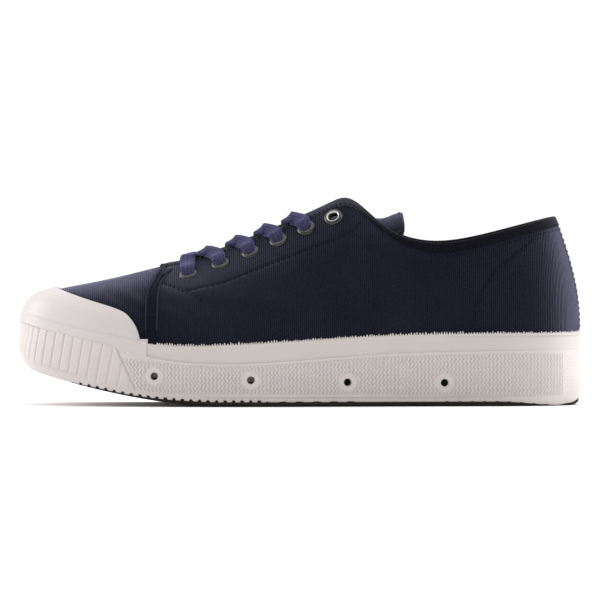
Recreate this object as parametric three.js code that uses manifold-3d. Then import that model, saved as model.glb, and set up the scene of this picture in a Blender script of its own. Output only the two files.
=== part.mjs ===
// A low canvas lace-up shoe for the left foot: a rubber cup sole, a rubber foxing band and toe cap,
// a hollow canvas upper that is open at the collar, the throat and underneath, a tongue, an insole,
// six pairs of metal eyelets, and the bars of a flat lace.
// Millimetres, +Z up. While it is built, x runs from the toe tip (0) to the heel (LENGTH), the outer
// side of the foot is -y and the inner side +y. The finished group is centred over its own box.
import * as THREE from "three";
import { mergeVertices } from "three/addons/utils/BufferGeometryUtils.js";
import Module from "manifold-3d";

const wasm = await Module();
wasm.setup();

// ---- Driving dimensions ----
const LENGTH = 290; // over the sole, toe tip to heel
const GAP = 0.3; // between pieces that meet
const CANVAS = 1.8; // canvas and lining, the upper's wall
const FEATHER_INSET = 3; // from the sole's outline to the upper's lower edge
const TOE_SPRING = 20; // how far the toe tip is lifted
const ROLL = 105; // where the sole leaves the ground, from the toe tip
const SPRING_POWER = 1.66; // how quickly the sole curls up towards the toe
const FOREFOOT_STACK = 12; // sole thickness under the foot
const HEEL_STACK = 20;
const ARCH_LIFT = 1.5; // hollow under the waist
const FOXING_INSET = 1.1; // the foxing's face, behind the sole's face
const CAP_THICKNESS = 1.9;
const INSOLE_THICKNESS = 4;
const EYELET_HOLE = 2.6; // radius of the clear hole
const EYELET_FLANGE = 4.9; // radius over the flange
const LACED_PAIRS = 5;
const LACE_WIDTH = 7.5;
const LACE_THICKNESS = 1.2;
const VENT_RADIUS = 2;
const VENT_DEPTH = 7;
const VENT_FIRST_X = 70.6;
const VENT_PITCH = 49.6;
const VENTS_PER_SIDE = 4;

// ---- Tables, each with a row for a place between toe and heel ----

// The sole's outline and the heights on its wall, at 13 places that crowd towards both ends:
// wall is the top of the thick sole wall, and foxing the top of the thin band above it.
const OUTLINE = [
  { outer: 7.0, inner: 7.0, wall: 43.3, foxing: 46.3 },
  { outer: -12.8, inner: 25.6, wall: 41.9, foxing: 45.3 },
  { outer: -28.0, inner: 39.6, wall: 38.1, foxing: 42.3 },
  { outer: -41.0, inner: 47.4, wall: 32.9, foxing: 37.8 },
  { outer: -49.2, inner: 50.2, wall: 25.0, foxing: 31.5 },
  { outer: -52.3, inner: 47.2, wall: 22.3, foxing: 31.1 },
  { outer: -49.4, inner: 39.8, wall: 24.0, foxing: 33.2 },
  { outer: -43.6, inner: 34.6, wall: 26.8, foxing: 35.5 },
  { outer: -39.2, inner: 34.0, wall: 28.2, foxing: 36.5 },
  { outer: -36.8, inner: 35.6, wall: 28.8, foxing: 36.9 },
  { outer: -30.4, inner: 31.4, wall: 28.8, foxing: 36.9 },
  { outer: -17.0, inner: 18.4, wall: 28.8, foxing: 36.9 },
  { outer: 0.5, inner: 0.5, wall: 28.8, foxing: 36.9 },
];

// The upper's open edge, from the front of the throat, over its peak and round the collar to the
// heel: x from the toe tip, reach to either side of the throat's axis, and height.
const TOPLINE = [
  { x: 78.0, reach: 0.0, z: 72.2 },
  { x: 80.0, reach: 4.6, z: 72.6 },
  { x: 87.5, reach: 7.2, z: 74.2 },
  { x: 104.0, reach: 8.8, z: 79.4 },
  { x: 124.0, reach: 10.8, z: 87.2 },
  { x: 145.0, reach: 13.2, z: 96.0 },
  { x: 160.0, reach: 15.4, z: 102.8 },
  { x: 168.0, reach: 16.6, z: 105.6 },
  { x: 175.6, reach: 18.2, z: 102.6 },
  { x: 186.0, reach: 21.8, z: 93.7 },
  { x: 199.0, reach: 25.8, z: 86.0 },
  { x: 215.0, reach: 28.4, z: 83.1 },
  { x: 232.0, reach: 28.8, z: 84.9 },
  { x: 249.0, reach: 26.4, z: 89.0 },
  { x: 263.5, reach: 20.0, z: 93.0 },
  { x: 273.0, reach: 11.0, z: 95.5 },
  { x: 276.0, reach: 0.0, z: 96.2 },
];

// The upper's sections, fanned from toe to heel. Each runs from a foot on the outline to a top on
// the topline, both counted in rows of those tables, over three control points between them:
// the wall, the shoulder and the roof. out is how far a point bulges outwards in millimetres, in is
// its share of the way across, and rise its share of the height.
const SECTIONS = [
  { foot: 0, top: 0, wallOut: 0.5, wallRise: 0.65, shoulderOut: 0, shoulderIn: 0.02, shoulderRise: 0.73, roofIn: 0.33, roofRise: 0.665 },
  { foot: 1, top: 0.45, wallOut: 0.6, wallRise: 0.645, shoulderOut: 0, shoulderIn: 0.02, shoulderRise: 0.73, roofIn: 0.33, roofRise: 0.67 },
  { foot: 2, top: 0.95, wallOut: 0.8, wallRise: 0.61, shoulderOut: 0, shoulderIn: 0.03, shoulderRise: 0.71, roofIn: 0.35, roofRise: 0.69 },
  { foot: 3, top: 1.6, wallOut: 1.0, wallRise: 0.53, shoulderOut: 0, shoulderIn: 0.05, shoulderRise: 0.68, roofIn: 0.4, roofRise: 0.73 },
  { foot: 4, top: 2.4, wallOut: 1.2, wallRise: 0.43, shoulderOut: 0.3, shoulderIn: 0.08, shoulderRise: 0.65, roofIn: 0.47, roofRise: 0.76 },
  { foot: 5, top: 3.5, wallOut: 1.4, wallRise: 0.37, shoulderOut: 0.5, shoulderIn: 0.1, shoulderRise: 0.62, roofIn: 0.5, roofRise: 0.79 },
  { foot: 5.9, top: 4.8, wallOut: 1.2, wallRise: 0.34, shoulderOut: 0.5, shoulderIn: 0.12, shoulderRise: 0.6, roofIn: 0.5, roofRise: 0.85 },
  { foot: 6.45, top: 6, wallOut: 1.0, wallRise: 0.33, shoulderOut: 0.6, shoulderIn: 0.14, shoulderRise: 0.59, roofIn: 0.5, roofRise: 0.88 },
  { foot: 6.72, top: 7, wallOut: 1.0, wallRise: 0.33, shoulderOut: 0.7, shoulderIn: 0.15, shoulderRise: 0.58, roofIn: 0.52, roofRise: 0.88 },
  { foot: 6.98, top: 8, wallOut: 1.0, wallRise: 0.33, shoulderOut: 0.9, shoulderIn: 0.15, shoulderRise: 0.57, roofIn: 0.55, roofRise: 0.87 },
  { foot: 7.4, top: 9.2, wallOut: 1.2, wallRise: 0.32, shoulderOut: 1.2, shoulderIn: 0.12, shoulderRise: 0.56, roofIn: 0.55, roofRise: 0.84 },
  { foot: 8.05, top: 10.9, wallOut: 1.6, wallRise: 0.3, shoulderOut: 1.8, shoulderIn: 0.08, shoulderRise: 0.54, roofIn: 0.54, roofRise: 0.79 },
  { foot: 8.95, top: 12.7, wallOut: 2.0, wallRise: 0.28, shoulderOut: 2.6, shoulderIn: 0.04, shoulderRise: 0.5, roofIn: 0.48, roofRise: 0.78 },
  { foot: 9.95, top: 14.1, wallOut: 2.3, wallRise: 0.26, shoulderOut: 3.2, shoulderIn: 0.0, shoulderRise: 0.47, roofIn: 0.42, roofRise: 0.77 },
  { foot: 11, top: 15.1, wallOut: 2.5, wallRise: 0.25, shoulderOut: 3.5, shoulderIn: 0.0, shoulderRise: 0.45, roofIn: 0.38, roofRise: 0.76 },
  { foot: 12, top: 16, wallOut: 2.5, wallRise: 0.25, shoulderOut: 3.5, shoulderIn: 0.0, shoulderRise: 0.45, roofIn: 0.36, roofRise: 0.76 },
];

// The toe cap's rear edge as seen from the side.
const CAP_EDGE = [
  { x: 8, z: 63.5 },
  { x: 20.6, z: 58.9 },
  { x: 35.6, z: 54.0 },
  { x: 46.8, z: 50.8 },
  { x: 54.6, z: 48.0 },
  { x: 58.6, z: 44.8 },
  { x: 61.6, z: 40.4 },
  { x: 63.6, z: 34.4 },
];
const CAP_END = 3.83; // the foot place, in rows of OUTLINE, where cap and foxing meet

// The pairs of eyelets: x, and how far each is set back from the throat's edge along the canvas.
const EYELETS = [
  { x: 88, setback: 18 },
  { x: 104.6, setback: 14.4 },
  { x: 119.9, setback: 12.6 },
  { x: 134.4, setback: 11.6 },
  { x: 148.6, setback: 11 },
  { x: 162.5, setback: 10.8 },
];

// The tongue, from its sewn root to its free end: the middle of its upper face, and its half width.
const TONGUE = [
  { x: 73, z: 67.6, half: 11 },
  { x: 92, z: 72.6, half: 12.5 },
  { x: 112, z: 78.8, half: 14.5 },
  { x: 132, z: 85.4, half: 17 },
  { x: 152, z: 94.6, half: 18 },
  { x: 172, z: 99.0, half: 18.5 },
  { x: 186, z: 96.2, half: 20 },
  { x: 198, z: 98.2, half: 20.5 },
];
const TONGUE_THICKNESS = 2.4;
const TONGUE_ARCH = 0.02; // drop per square millimetre away from its middle

// ---- Curves through tables ----

// A smooth curve (cubic, with even curvature) through evenly spaced values. Beyond its ends an
// "even" curve is mirrored, an "odd" one is turned half round, and a "round" one starts again.
function through(values, ends) {
  const n = values.length;
  const at = (list, i) => {
    if (ends === "round") return list[((i % n) + n) % n];
    const mirrored = i < 0 ? -i : i > n - 1 ? 2 * (n - 1) - i : i;
    if (mirrored === i || ends === "even") return list[mirrored];
    return 2 * list[i < 0 ? 0 : n - 1] - list[mirrored];
  };
  let knots = values.slice();
  for (let pass = 0; pass < 60; pass++) {
    knots = knots.map((k, i) => k + values[i] - (at(knots, i - 1) + 4 * k + at(knots, i + 1)) / 6);
  }
  return (t) => {
    const i = Math.floor(t);
    const f = t - i;
    const g = 1 - f;
    const weights = [g ** 3, 4 - 6 * f * f + 3 * f ** 3, 4 - 6 * g * g + 3 * g ** 3, f ** 3];
    return weights.reduce((sum, w, j) => sum + (w * at(knots, i - 1 + j)) / 6, 0);
  };
}

const column = (table, key) => table.map((row) => row[key]);
const roundTrip = (out, back) => [...out, ...back.slice(1, -1).reverse()];
const clamp01 = (t) => Math.min(1, Math.max(0, t));
const smoothstep = (t) => clamp01(t) ** 2 * (3 - 2 * clamp01(t));
const mix = (a, b, t) => a + (b - a) * t;

// Finds where a rising function passes a value between two bounds.
function solveRising(rising, value, low, high) {
  for (let step = 0; step < 40; step++) {
    const mid = (low + high) / 2;
    if (rising(mid) < value) low = mid;
    else high = mid;
  }
  return (low + high) / 2;
}

// ---- The last: outline, heights and the upper's surface ----

const ROWS = OUTLINE.length - 1; // places along one side of the outline
const TOPS = TOPLINE.length - 1;
const FANS = SECTIONS.length - 1;
const outlineY = through(roundTrip(column(OUTLINE, "outer"), column(OUTLINE, "inner")), "round");
const wallTable = through(column(OUTLINE, "wall"), "even");
const foxingTable = through(column(OUTLINE, "foxing"), "even");
const footX = (foot) => (LENGTH * (1 - Math.cos((Math.PI * foot) / ROWS))) / 2;
const onOneSide = (foot) => (foot > ROWS ? 2 * ROWS - foot : foot);
const wallTop = (foot) => wallTable(onOneSide(foot));
const foxingTop = (foot) => foxingTable(onOneSide(foot));

// A point of the sole's outline, moved inwards by inset, with the outward direction there.
// foot counts rows of OUTLINE, down the outer side to the heel and back up the inner side.
function outline(foot, inset = 0) {
  const step = 0.01;
  const along = new THREE.Vector2(footX(foot + step) - footX(foot - step), outlineY(foot + step) - outlineY(foot - step));
  const out = new THREE.Vector2(along.y, -along.x).normalize();
  return { x: footX(foot) - out.x * inset, y: outlineY(foot) - out.y * inset, out };
}

const spring = (x) => TOE_SPRING * Math.max(0, (ROLL - x) / ROLL) ** SPRING_POWER;
// The height of the sole's floor, on which the upper and the insole stand.
const floorZ = (x) => 0.8 * spring(x) + mix(FOREFOOT_STACK, HEEL_STACK, smoothstep((x - 110) / 110));
// The throat's axis, from a little to the inner side at the toe to the middle of the heel.
const axisY = (x) => 5 * (1 - x / LENGTH);

const sectionCurves = Object.fromEntries(
  Object.keys(SECTIONS[0]).map((key) => [key, through(column(SECTIONS, key), key === "foot" || key === "top" ? "odd" : "even")]),
);
const topX = through(column(TOPLINE, "x"), "even");
const topReach = through(column(TOPLINE, "reach"), "odd");
const topZ = through(column(TOPLINE, "z"), "even");

// A place round the shoe is a fan number from 0 at the toe, through FANS at the heel on the outer
// side, to 2 * FANS at the toe again on the inner side.
const fanSide = (fan) => (fan > FANS ? 1 : -1);
const fanRow = (fan) => (fan > FANS ? 2 * FANS - fan : fan);
function footOf(fan) {
  const foot = sectionCurves.foot(fanRow(fan));
  return fan > FANS ? 2 * ROWS - foot : foot;
}

// The five control points of the section at a fan number.
function sectionPoints(fan) {
  const row = fanRow(fan);
  const value = Object.fromEntries(Object.entries(sectionCurves).map(([key, curve]) => [key, curve(row)]));
  const base = outline(footOf(fan), FEATHER_INSET);
  const foot = new THREE.Vector3(base.x, base.y, floorZ(base.x) + GAP);
  const x = topX(value.top);
  const top = new THREE.Vector3(x, axisY(x) + fanSide(fan) * topReach(value.top), topZ(value.top));
  const place = (out, share, rise) =>
    new THREE.Vector3(
      mix(foot.x, top.x, share) + base.out.x * out,
      mix(foot.y, top.y, share) + base.out.y * out,
      mix(foot.z, top.z, rise),
    );
  return [
    foot,
    place(value.wallOut, 0, value.wallRise),
    place(value.shoulderOut, value.shoulderIn, value.shoulderRise),
    place(0, value.roofIn, value.roofRise),
    top,
  ];
}

const QUARTIC = [1, 4, 6, 4, 1];
function sectionPoint(fan, v) {
  const point = new THREE.Vector3();
  sectionPoints(fan).forEach((p, i) => point.addScaledVector(p, QUARTIC[i] * v ** i * (1 - v) ** (4 - i)));
  return point;
}

// The upper's outward direction at a fan number and a share v of the way from its foot to its top.
function upperNormal(fan, v) {
  const step = 0.02;
  const wrapped = (f) => ((f % (2 * FANS)) + 2 * FANS) % (2 * FANS);
  const round = sectionPoint(wrapped(fan + step), v).sub(sectionPoint(wrapped(fan - step), v));
  const low = Math.max(0, v - step);
  const up = sectionPoint(fan, Math.min(1, v + step)).sub(sectionPoint(fan, low));
  return round.cross(up).normalize();
}

// A point of the upper's outer face, lifted off it.
const upperPoint = (fan, v, lift = 0) => sectionPoint(fan, v).addScaledVector(upperNormal(fan, v), lift);
const shareAtHeight = (fan, z) => solveRising((v) => sectionPoint(fan, v).z, z, 0, 0.6);

// ---- Solids from grids of points ----

// Adds a four-cornered face whose corners turn left as seen from outside.
function face(list, a, b, c, d) {
  for (const corners of [[a, b, c], [a, c, d]]) {
    const [p, q, r] = corners;
    const apart = (m, n) => m.distanceToSquared(n) > 1e-6;
    if (apart(p, q) && apart(q, r) && apart(r, p)) list.push(...corners);
  }
}

function geometryOf(list) {
  return mergeVertices(new THREE.BufferGeometry().setFromPoints(list), 1e-3);
}

// A sheet between two matching grids[column][row]. Columns turn left round the shoe and rows climb.
function sheetSolid(outer, inner, closed) {
  const list = [];
  const columns = outer.length;
  const top = outer[0].length - 1;
  for (let c = 0; c < (closed ? columns : columns - 1); c++) {
    const n = (c + 1) % columns;
    for (let r = 0; r < top; r++) {
      face(list, outer[c][r], outer[n][r], outer[n][r + 1], outer[c][r + 1]);
      face(list, inner[n][r], inner[c][r], inner[c][r + 1], inner[n][r + 1]);
    }
    face(list, inner[c][0], inner[n][0], outer[n][0], outer[c][0]);
    face(list, outer[c][top], outer[n][top], inner[n][top], inner[c][top]);
  }
  for (let r = 0; !closed && r < top; r++) {
    const end = columns - 1;
    face(list, outer[0][r], outer[0][r + 1], inner[0][r + 1], inner[0][r]);
    face(list, inner[end][r], inner[end][r + 1], outer[end][r + 1], outer[end][r]);
  }
  return geometryOf(list);
}

// A solid skinned over closed rings, of which the first and the last are folded flat onto a line.
function ringSolid(rings) {
  const list = [];
  for (let k = 0; k + 1 < rings.length; k++) {
    rings[k].forEach((p, c) => {
      const n = (c + 1) % rings[k].length;
      face(list, p, rings[k][n], rings[k + 1][n], rings[k + 1][c]);
    });
  }
  return geometryOf(list);
}

const toManifold = (geometry) => {
  const plain = new THREE.BufferGeometry().setAttribute("position", geometry.getAttribute("position"));
  plain.setIndex(geometry.index);
  const merged = mergeVertices(plain, 1e-3);
  return new wasm.Manifold(
    new wasm.Mesh({ numProp: 3, vertProperties: merged.attributes.position.array, triVerts: new Uint32Array(merged.index.array) }),
  );
};

function fromManifold(solid) {
  const { vertProperties, triVerts } = solid.getMesh();
  return new THREE.BufferGeometry()
    .setAttribute("position", new THREE.BufferAttribute(vertProperties, 3))
    .setIndex(new THREE.BufferAttribute(triVerts, 1));
}

// A matrix that carries a shape's own +Y onto a direction, at a place.
function seatAt(place, direction) {
  const turn = new THREE.Quaternion().setFromUnitVectors(new THREE.Vector3(0, 1, 0), direction);
  return new THREE.Matrix4().compose(place, turn, new THREE.Vector3(1, 1, 1));
}

const COLUMNS_PER_FAN = 3;
const ALL_FANS = Array.from({ length: 2 * FANS * COLUMNS_PER_FAN }, (_, c) => c / COLUMNS_PER_FAN);
const steps = (count) => Array.from({ length: count + 1 }, (_, i) => i / count);

// ---- Upper ----

const UPPER_ROWS = 9;
const rowsUp = steps(UPPER_ROWS);
const laceEyelets = [];

// The fan number of the section whose point, set back from the throat's edge, lies at x.
function eyeletSeat(side, { x, setback }) {
  const seatOnOuterSide = (fan) => {
    const edge = 1;
    let v = edge;
    let walked = 0;
    let from = sectionPoint(fan, edge);
    while (walked < setback) {
      v -= 0.004;
      const to = sectionPoint(fan, v);
      walked += to.distanceTo(from);
      from = to;
    }
    return v;
  };
  const row = solveRising((fan) => sectionPoint(fan, seatOnOuterSide(fan)).x, x, 2, 9);
  const fan = side < 0 ? row : 2 * FANS - row;
  return { fan, v: seatOnOuterSide(row) };
}

EYELETS.forEach((row, pair) => {
  for (const side of [-1, 1]) {
    const { fan, v } = eyeletSeat(side, row);
    laceEyelets.push({ pair, side, fan, v, place: upperPoint(fan, v), normal: upperNormal(fan, v) });
  }
});

function upper() {
  const outer = ALL_FANS.map((fan) => rowsUp.map((v) => upperPoint(fan, v)));
  const inner = ALL_FANS.map((fan) => rowsUp.map((v) => upperPoint(fan, v, -CANVAS)));
  let solid = toManifold(sheetSolid(outer, inner, true));
  const punch = new THREE.CylinderGeometry(EYELET_HOLE + 0.7, EYELET_HOLE + 0.7, 3 * CANVAS, 10);
  for (const { place, normal } of laceEyelets) {
    const cutter = punch.clone().applyMatrix4(seatAt(place, normal));
    solid = solid.subtract(toManifold(cutter));
  }
  return fromManifold(solid);
}

// ---- Rubber: cup sole, foxing band and toe cap ----

// A ring inside another, drawn towards the shoe's middle line by share.
function drawnIn(ring, share, height) {
  const margin = 20;
  return ring.map((p, c) => {
    const x = footX(footOf(ALL_FANS[c]));
    const middle = new THREE.Vector3(mix(margin, LENGTH - margin, x / LENGTH), 0.6 * axisY(x), 0);
    const drawn = p.clone().lerp(middle, share);
    return drawn.setZ(height(drawn.x));
  });
}

function outsole() {
  const wallRing = (inset, height) =>
    ALL_FANS.map((fan) => {
      const p = outline(footOf(fan), inset);
      return new THREE.Vector3(p.x, p.y, height(p.x, footOf(fan)));
    });
  const cupRing = (height) => ALL_FANS.map((fan) => upperPoint(fan, shareAtHeight(fan, height(fan)), GAP));
  const rimZ = (fan) => wallTop(footOf(fan)) - GAP;
  const arch = (x) => spring(x) + ARCH_LIFT * smoothstep((x - 160) / 15) * smoothstep((210 - x) / 15);
  const pad = wallRing(8, arch);
  const floorEdge = ALL_FANS.map((fan) => {
    const p = upperPoint(fan, 0, GAP);
    return p.setZ(floorZ(p.x));
  });
  const rings = [
    drawnIn(pad, 1, arch),
    pad,
    wallRing(5.5, (x) => spring(x)),
    wallRing(3.2, (x) => spring(x)),
    wallRing(0.9, (x) => spring(x) + 1.8),
    wallRing(0, (x) => spring(x) + 4.8),
    wallRing(0, (x, foot) => wallTop(foot) - GAP),
    cupRing(rimZ),
    floorEdge,
    drawnIn(floorEdge, 1, floorZ),
  ];
  let solid = toManifold(ringSolid(rings));
  const drill = new THREE.CylinderGeometry(VENT_RADIUS, VENT_RADIUS, 2 * VENT_DEPTH, 10);
  for (const { place, out } of vents()) {
    solid = solid.subtract(toManifold(drill.clone().applyMatrix4(seatAt(place, out))));
  }
  return fromManifold(solid);
}

// The vent holes, low on both walls, each with the outward direction there.
function vents() {
  return [-1, 1].flatMap((side) =>
    Array.from({ length: VENTS_PER_SIDE }, (_, n) => {
      const x = VENT_FIRST_X + n * VENT_PITCH;
      const foot = solveRising(footX, x, 0, ROWS);
      const p = outline(side < 0 ? foot : 2 * ROWS - foot);
      const place = new THREE.Vector3(p.x, p.y, mix(15.7, 12.1, 1 - (1 - n / 3) ** 2));
      return { place, out: new THREE.Vector3(p.out.x, p.out.y, 0) };
    }),
  );
}

// The fan numbers on the toe's side, or the heel's side, of the joint between cap and foxing.
const jointFan = solveRising((fan) => sectionCurves.foot(fan), CAP_END, 0, FANS);
function fansBetween(from, to, perFan) {
  const first = Math.floor(from * perFan) + 1;
  const count = Math.ceil(to * perFan) - first;
  return [from, ...Array.from({ length: count }, (_, i) => (first + i) / perFan), to];
}

function foxing() {
  const clear = 0.004; // a hair past the joint, so that cap and band don't touch
  const fans = fansBetween(jointFan + clear, 2 * FANS - jointFan - clear, COLUMNS_PER_FAN);
  const heights = (fan) => [wallTop(footOf(fan)), foxingTop(footOf(fan))];
  const inner = fans.map((fan) => {
    const [low, high] = heights(fan);
    return [low, high].map((z) => upperPoint(fan, shareAtHeight(fan, z), GAP));
  });
  const outer = fans.map((fan, c) => {
    const p = outline(footOf(fan), FOXING_INSET);
    const [low, high] = inner[c];
    return [low, high].map((q) => new THREE.Vector3(p.x, p.y, q.z));
  });
  return sheetSolid(outer, inner, false);
}

// The share at which a section meets the toe cap's rear edge.
const capTable = new THREE.SplineCurve(CAP_EDGE.map(({ x, z }) => new THREE.Vector2(x, z)));
const capPoints = capTable.getPoints(80);
function capEdgeZ(x) {
  const next = capPoints.findIndex((p) => p.x > x);
  if (next < 1) return next === 0 ? capPoints[0].y : capPoints[80].y;
  const [a, b] = [capPoints[next - 1], capPoints[next]];
  return mix(a.y, b.y, (x - a.x) / (b.x - a.x));
}
function capShare(fan) {
  const above = (v) => {
    const p = sectionPoint(fan, v);
    return p.z - capEdgeZ(p.x);
  };
  let v = 0.1;
  while (above(v) < 0 && v < 1) v += 0.002;
  return v;
}

function toeCap() {
  const clear = 0.03;
  const under = GAP + 0.1;
  const fans = fansBetween(-jointFan + clear, jointFan - clear, 2 * COLUMNS_PER_FAN).map((fan) => (fan < 0 ? fan + 2 * FANS : fan));
  const rows = steps(7);
  const shares = fans.map((fan) => {
    const low = shareAtHeight(fan, wallTop(footOf(fan)));
    const high = Math.max(capShare(fan), shareAtHeight(fan, wallTop(footOf(fan)) + 5));
    return rows.map((t) => mix(low, high, t));
  });
  const thickness = (t) => CAP_THICKNESS * (1 - 0.45 * smoothstep((t - 0.6) / 0.4));
  const outer = fans.map((fan, c) => shares[c].map((v, r) => upperPoint(fan, v, under + thickness(rows[r]))));
  const inner = fans.map((fan, c) => shares[c].map((v) => upperPoint(fan, v, under)));
  return sheetSolid(outer, inner, false);
}

// ---- Soft pieces inside: insole and tongue ----

function insole() {
  const seat = (x) => floorZ(x) + GAP;
  const crown = (x) => seat(x) + INSOLE_THICKNESS;
  const edge = (height) =>
    ALL_FANS.map((fan) => {
      const p = upperPoint(fan, 0.02, -CANVAS - 0.5);
      return p.setZ(height(p.x));
    });
  const low = edge(seat);
  const high = edge(crown);
  return ringSolid([drawnIn(low, 1, seat), low, high, drawnIn(high, 1, crown)]);
}

const tongueX = through(column(TONGUE, "x"), "odd");
const tongueZ = through(column(TONGUE, "z"), "odd");
const tongueHalf = through(column(TONGUE, "half"), "even");
// A point of the tongue: along it in rows of TONGUE, across it from -1 to 1, and below its upper face.
function tonguePoint(along, across, depth = 0) {
  const x = tongueX(along);
  const reach = across * tongueHalf(along);
  const drop = TONGUE_ARCH * reach * reach;
  return new THREE.Vector3(x, axisY(x) + reach, tongueZ(along) - drop - depth);
}

function tongue() {
  const along = steps(16).map((t) => t * (TONGUE.length - 1));
  const across = steps(8).map((t) => 2 * t - 1);
  const grid = (depth) => along.map((a) => across.map((b) => tonguePoint(a, b, depth)));
  return sheetSolid(grid(0), grid(TONGUE_THICKNESS), false);
}

// ---- Eyelets and lace ----

function eyelet() {
  const barrel = EYELET_HOLE + 0.4;
  const seat = 0.6; // the flange's height over the middle of the curved canvas
  const profile = [
    [EYELET_HOLE, -CANVAS - 0.6],
    [EYELET_HOLE, seat + 0.7],
    [barrel + 0.3, seat + 1],
    [EYELET_FLANGE - 0.3, seat + 0.5],
    [EYELET_FLANGE, seat],
    [barrel, seat],
    [barrel, -CANVAS - 0.6],
    [EYELET_HOLE, -CANVAS - 0.6],
  ];
  return new THREE.LatheGeometry(profile.map(([r, h]) => new THREE.Vector2(r, h)).reverse(), 10);
}

// A flat ribbon along a path of { at, up }, where up faces away from the foot.
function ribbon(path) {
  const across = (i) => {
    const ahead = path[Math.min(i + 1, path.length - 1)].at.clone().sub(path[Math.max(i - 1, 0)].at);
    return path[i].up.clone().cross(ahead).normalize();
  };
  const grid = (lift) =>
    path.map(({ at, up }, i) =>
      [-0.5, 0.5].map((side) => at.clone().addScaledVector(across(i), side * LACE_WIDTH).addScaledVector(up, lift)),
    );
  return toManifold(sheetSolid(grid(LACE_THICKNESS), grid(0), false));
}

const LACE_REST = 2.2; // the lace's lower face, over the canvas
const EDGE_REST = 1.5; // and over the throat's edge
const TONGUE_REST = 0.6; // and over the tongue
// Over an eyelet, then over the throat's edge, which it meets lead millimetres nearer the toe.
function laceOverEdge({ fan, v, place, normal }, lead) {
  const row = solveRising((r) => topX(sectionCurves.top(r)), place.x - lead, 0, FANS);
  const edgeFan = fan > FANS ? 2 * FANS - row : row;
  const up = upperNormal(edgeFan, 0.95).lerp(new THREE.Vector3(0, 0, 1), 0.4).normalize();
  return [
    { at: place.clone().addScaledVector(normal, LACE_REST), up: normal },
    { at: upperPoint(mix(fan, edgeFan, 0.4), mix(v, 1, 0.4), LACE_REST), up: normal },
    { at: upperPoint(edgeFan, 1).addScaledVector(up, EDGE_REST), up },
  ];
}

const eyeletAt = (pair, side) => laceEyelets.find((e) => e.pair === pair && e.side === side);
const tongueTop = (x) => tongueZ(solveRising(tongueX, x, 0, TONGUE.length - 1));

// The straight bar over the front pair.
function laceBar() {
  const [a, b] = [-1, 1].map((side) => laceOverEdge(eyeletAt(0, side), 0));
  const middle = { at: a[2].at.clone().lerp(b[2].at, 0.5), up: new THREE.Vector3(-0.25, 0, 1).normalize() };
  middle.at.z += 0.6;
  return fromManifold(ribbon([...a, middle, ...b.reverse()]));
}

// Two ribbons that cross in the throat and rise to one pair, joined where they cross.
function laceCross(pair) {
  const x = mix(EYELETS[pair - 1].x, EYELETS[pair].x, 0.5);
  const slope = (tongueTop(x + 1) - tongueTop(x - 1)) / 2;
  const up = new THREE.Vector3(-slope, 0, 1).normalize();
  const edge = topZ(solveRising(topX, x, 0, 7));
  const level = mix(tongueTop(x) + TONGUE_REST, edge, 0.3);
  const over = (along, side) => {
    const drop = TONGUE_ARCH * side * side;
    return { at: new THREE.Vector3(x + along, axisY(x) + side, level + slope * along - drop), up };
  };
  const legs = [-1, 1].map((side) => ribbon([...laceOverEdge(eyeletAt(pair, side), 3.4), over(0, 0), over(-2, -4.5 * side)]));
  return fromManifold(legs[0].add(legs[1]));
}

// ---- The assembly ----

const material = (color, roughness, metalness = 0) => new THREE.MeshStandardMaterial({ color, roughness, metalness });
const rubberWhite = material(0xddd5d2, 0.55);
const canvasNavy = material(0x1c1d33, 0.95);
const laceNavy = material(0x2e2a4e, 0.9);
const gunmetal = material(0x55554f, 0.35, 1);
const liningEcru = material(0xcfc6b4, 0.95);

const shoe = new THREE.Group();
function add(name, geometry, finish, matrix) {
  geometry.computeVertexNormals();
  const mesh = new THREE.Mesh(geometry, finish);
  mesh.name = name;
  if (matrix) matrix.decompose(mesh.position, mesh.quaternion, mesh.scale);
  shoe.add(mesh);
  return mesh;
}

const soleMesh = add("outsole", outsole(), rubberWhite);
add("foxing", foxing(), rubberWhite);
add("toe_cap", toeCap(), rubberWhite);
add("upper", upper(), canvasNavy);
add("tongue", tongue(), canvasNavy);
add("insole", insole(), liningEcru);
const sideName = (side) => (side < 0 ? "outer" : "inner");
for (const { pair, side, place, normal } of laceEyelets) {
  add(`eyelet_${sideName(side)}_${pair + 1}`, eyelet(), gunmetal, seatAt(place, normal));
}
add("lace_bar_1", laceBar(), laceNavy);
for (let pair = 1; pair < LACED_PAIRS; pair++) add(`lace_cross_${pair + 1}`, laceCross(pair), laceNavy);

// The origin is on the ground under the middle of the sole's box.
const box = new THREE.Box3().setFromObject(soleMesh);
shoe.position.set(-(box.min.x + box.max.x) / 2, -(box.min.y + box.max.y) / 2, -box.min.z);

export default shoe;
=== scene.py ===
import math

import bpy
import numpy as np
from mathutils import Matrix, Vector


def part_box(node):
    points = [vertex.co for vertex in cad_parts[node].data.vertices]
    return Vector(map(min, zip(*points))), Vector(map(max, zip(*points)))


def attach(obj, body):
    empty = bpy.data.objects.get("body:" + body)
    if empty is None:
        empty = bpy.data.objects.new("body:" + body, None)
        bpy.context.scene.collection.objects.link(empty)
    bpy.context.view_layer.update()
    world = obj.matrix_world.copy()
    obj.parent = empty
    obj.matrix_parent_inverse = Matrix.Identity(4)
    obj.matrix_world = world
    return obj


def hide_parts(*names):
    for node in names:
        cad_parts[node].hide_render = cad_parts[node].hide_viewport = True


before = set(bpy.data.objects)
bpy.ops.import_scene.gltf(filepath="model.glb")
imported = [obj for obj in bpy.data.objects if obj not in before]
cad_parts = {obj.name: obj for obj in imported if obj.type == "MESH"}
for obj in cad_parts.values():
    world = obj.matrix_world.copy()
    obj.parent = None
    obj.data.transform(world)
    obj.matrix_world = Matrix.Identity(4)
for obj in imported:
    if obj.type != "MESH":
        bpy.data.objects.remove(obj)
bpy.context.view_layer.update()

np.random.seed(7)

# ---------------------------------------------------------------- sizes, mm

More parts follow.
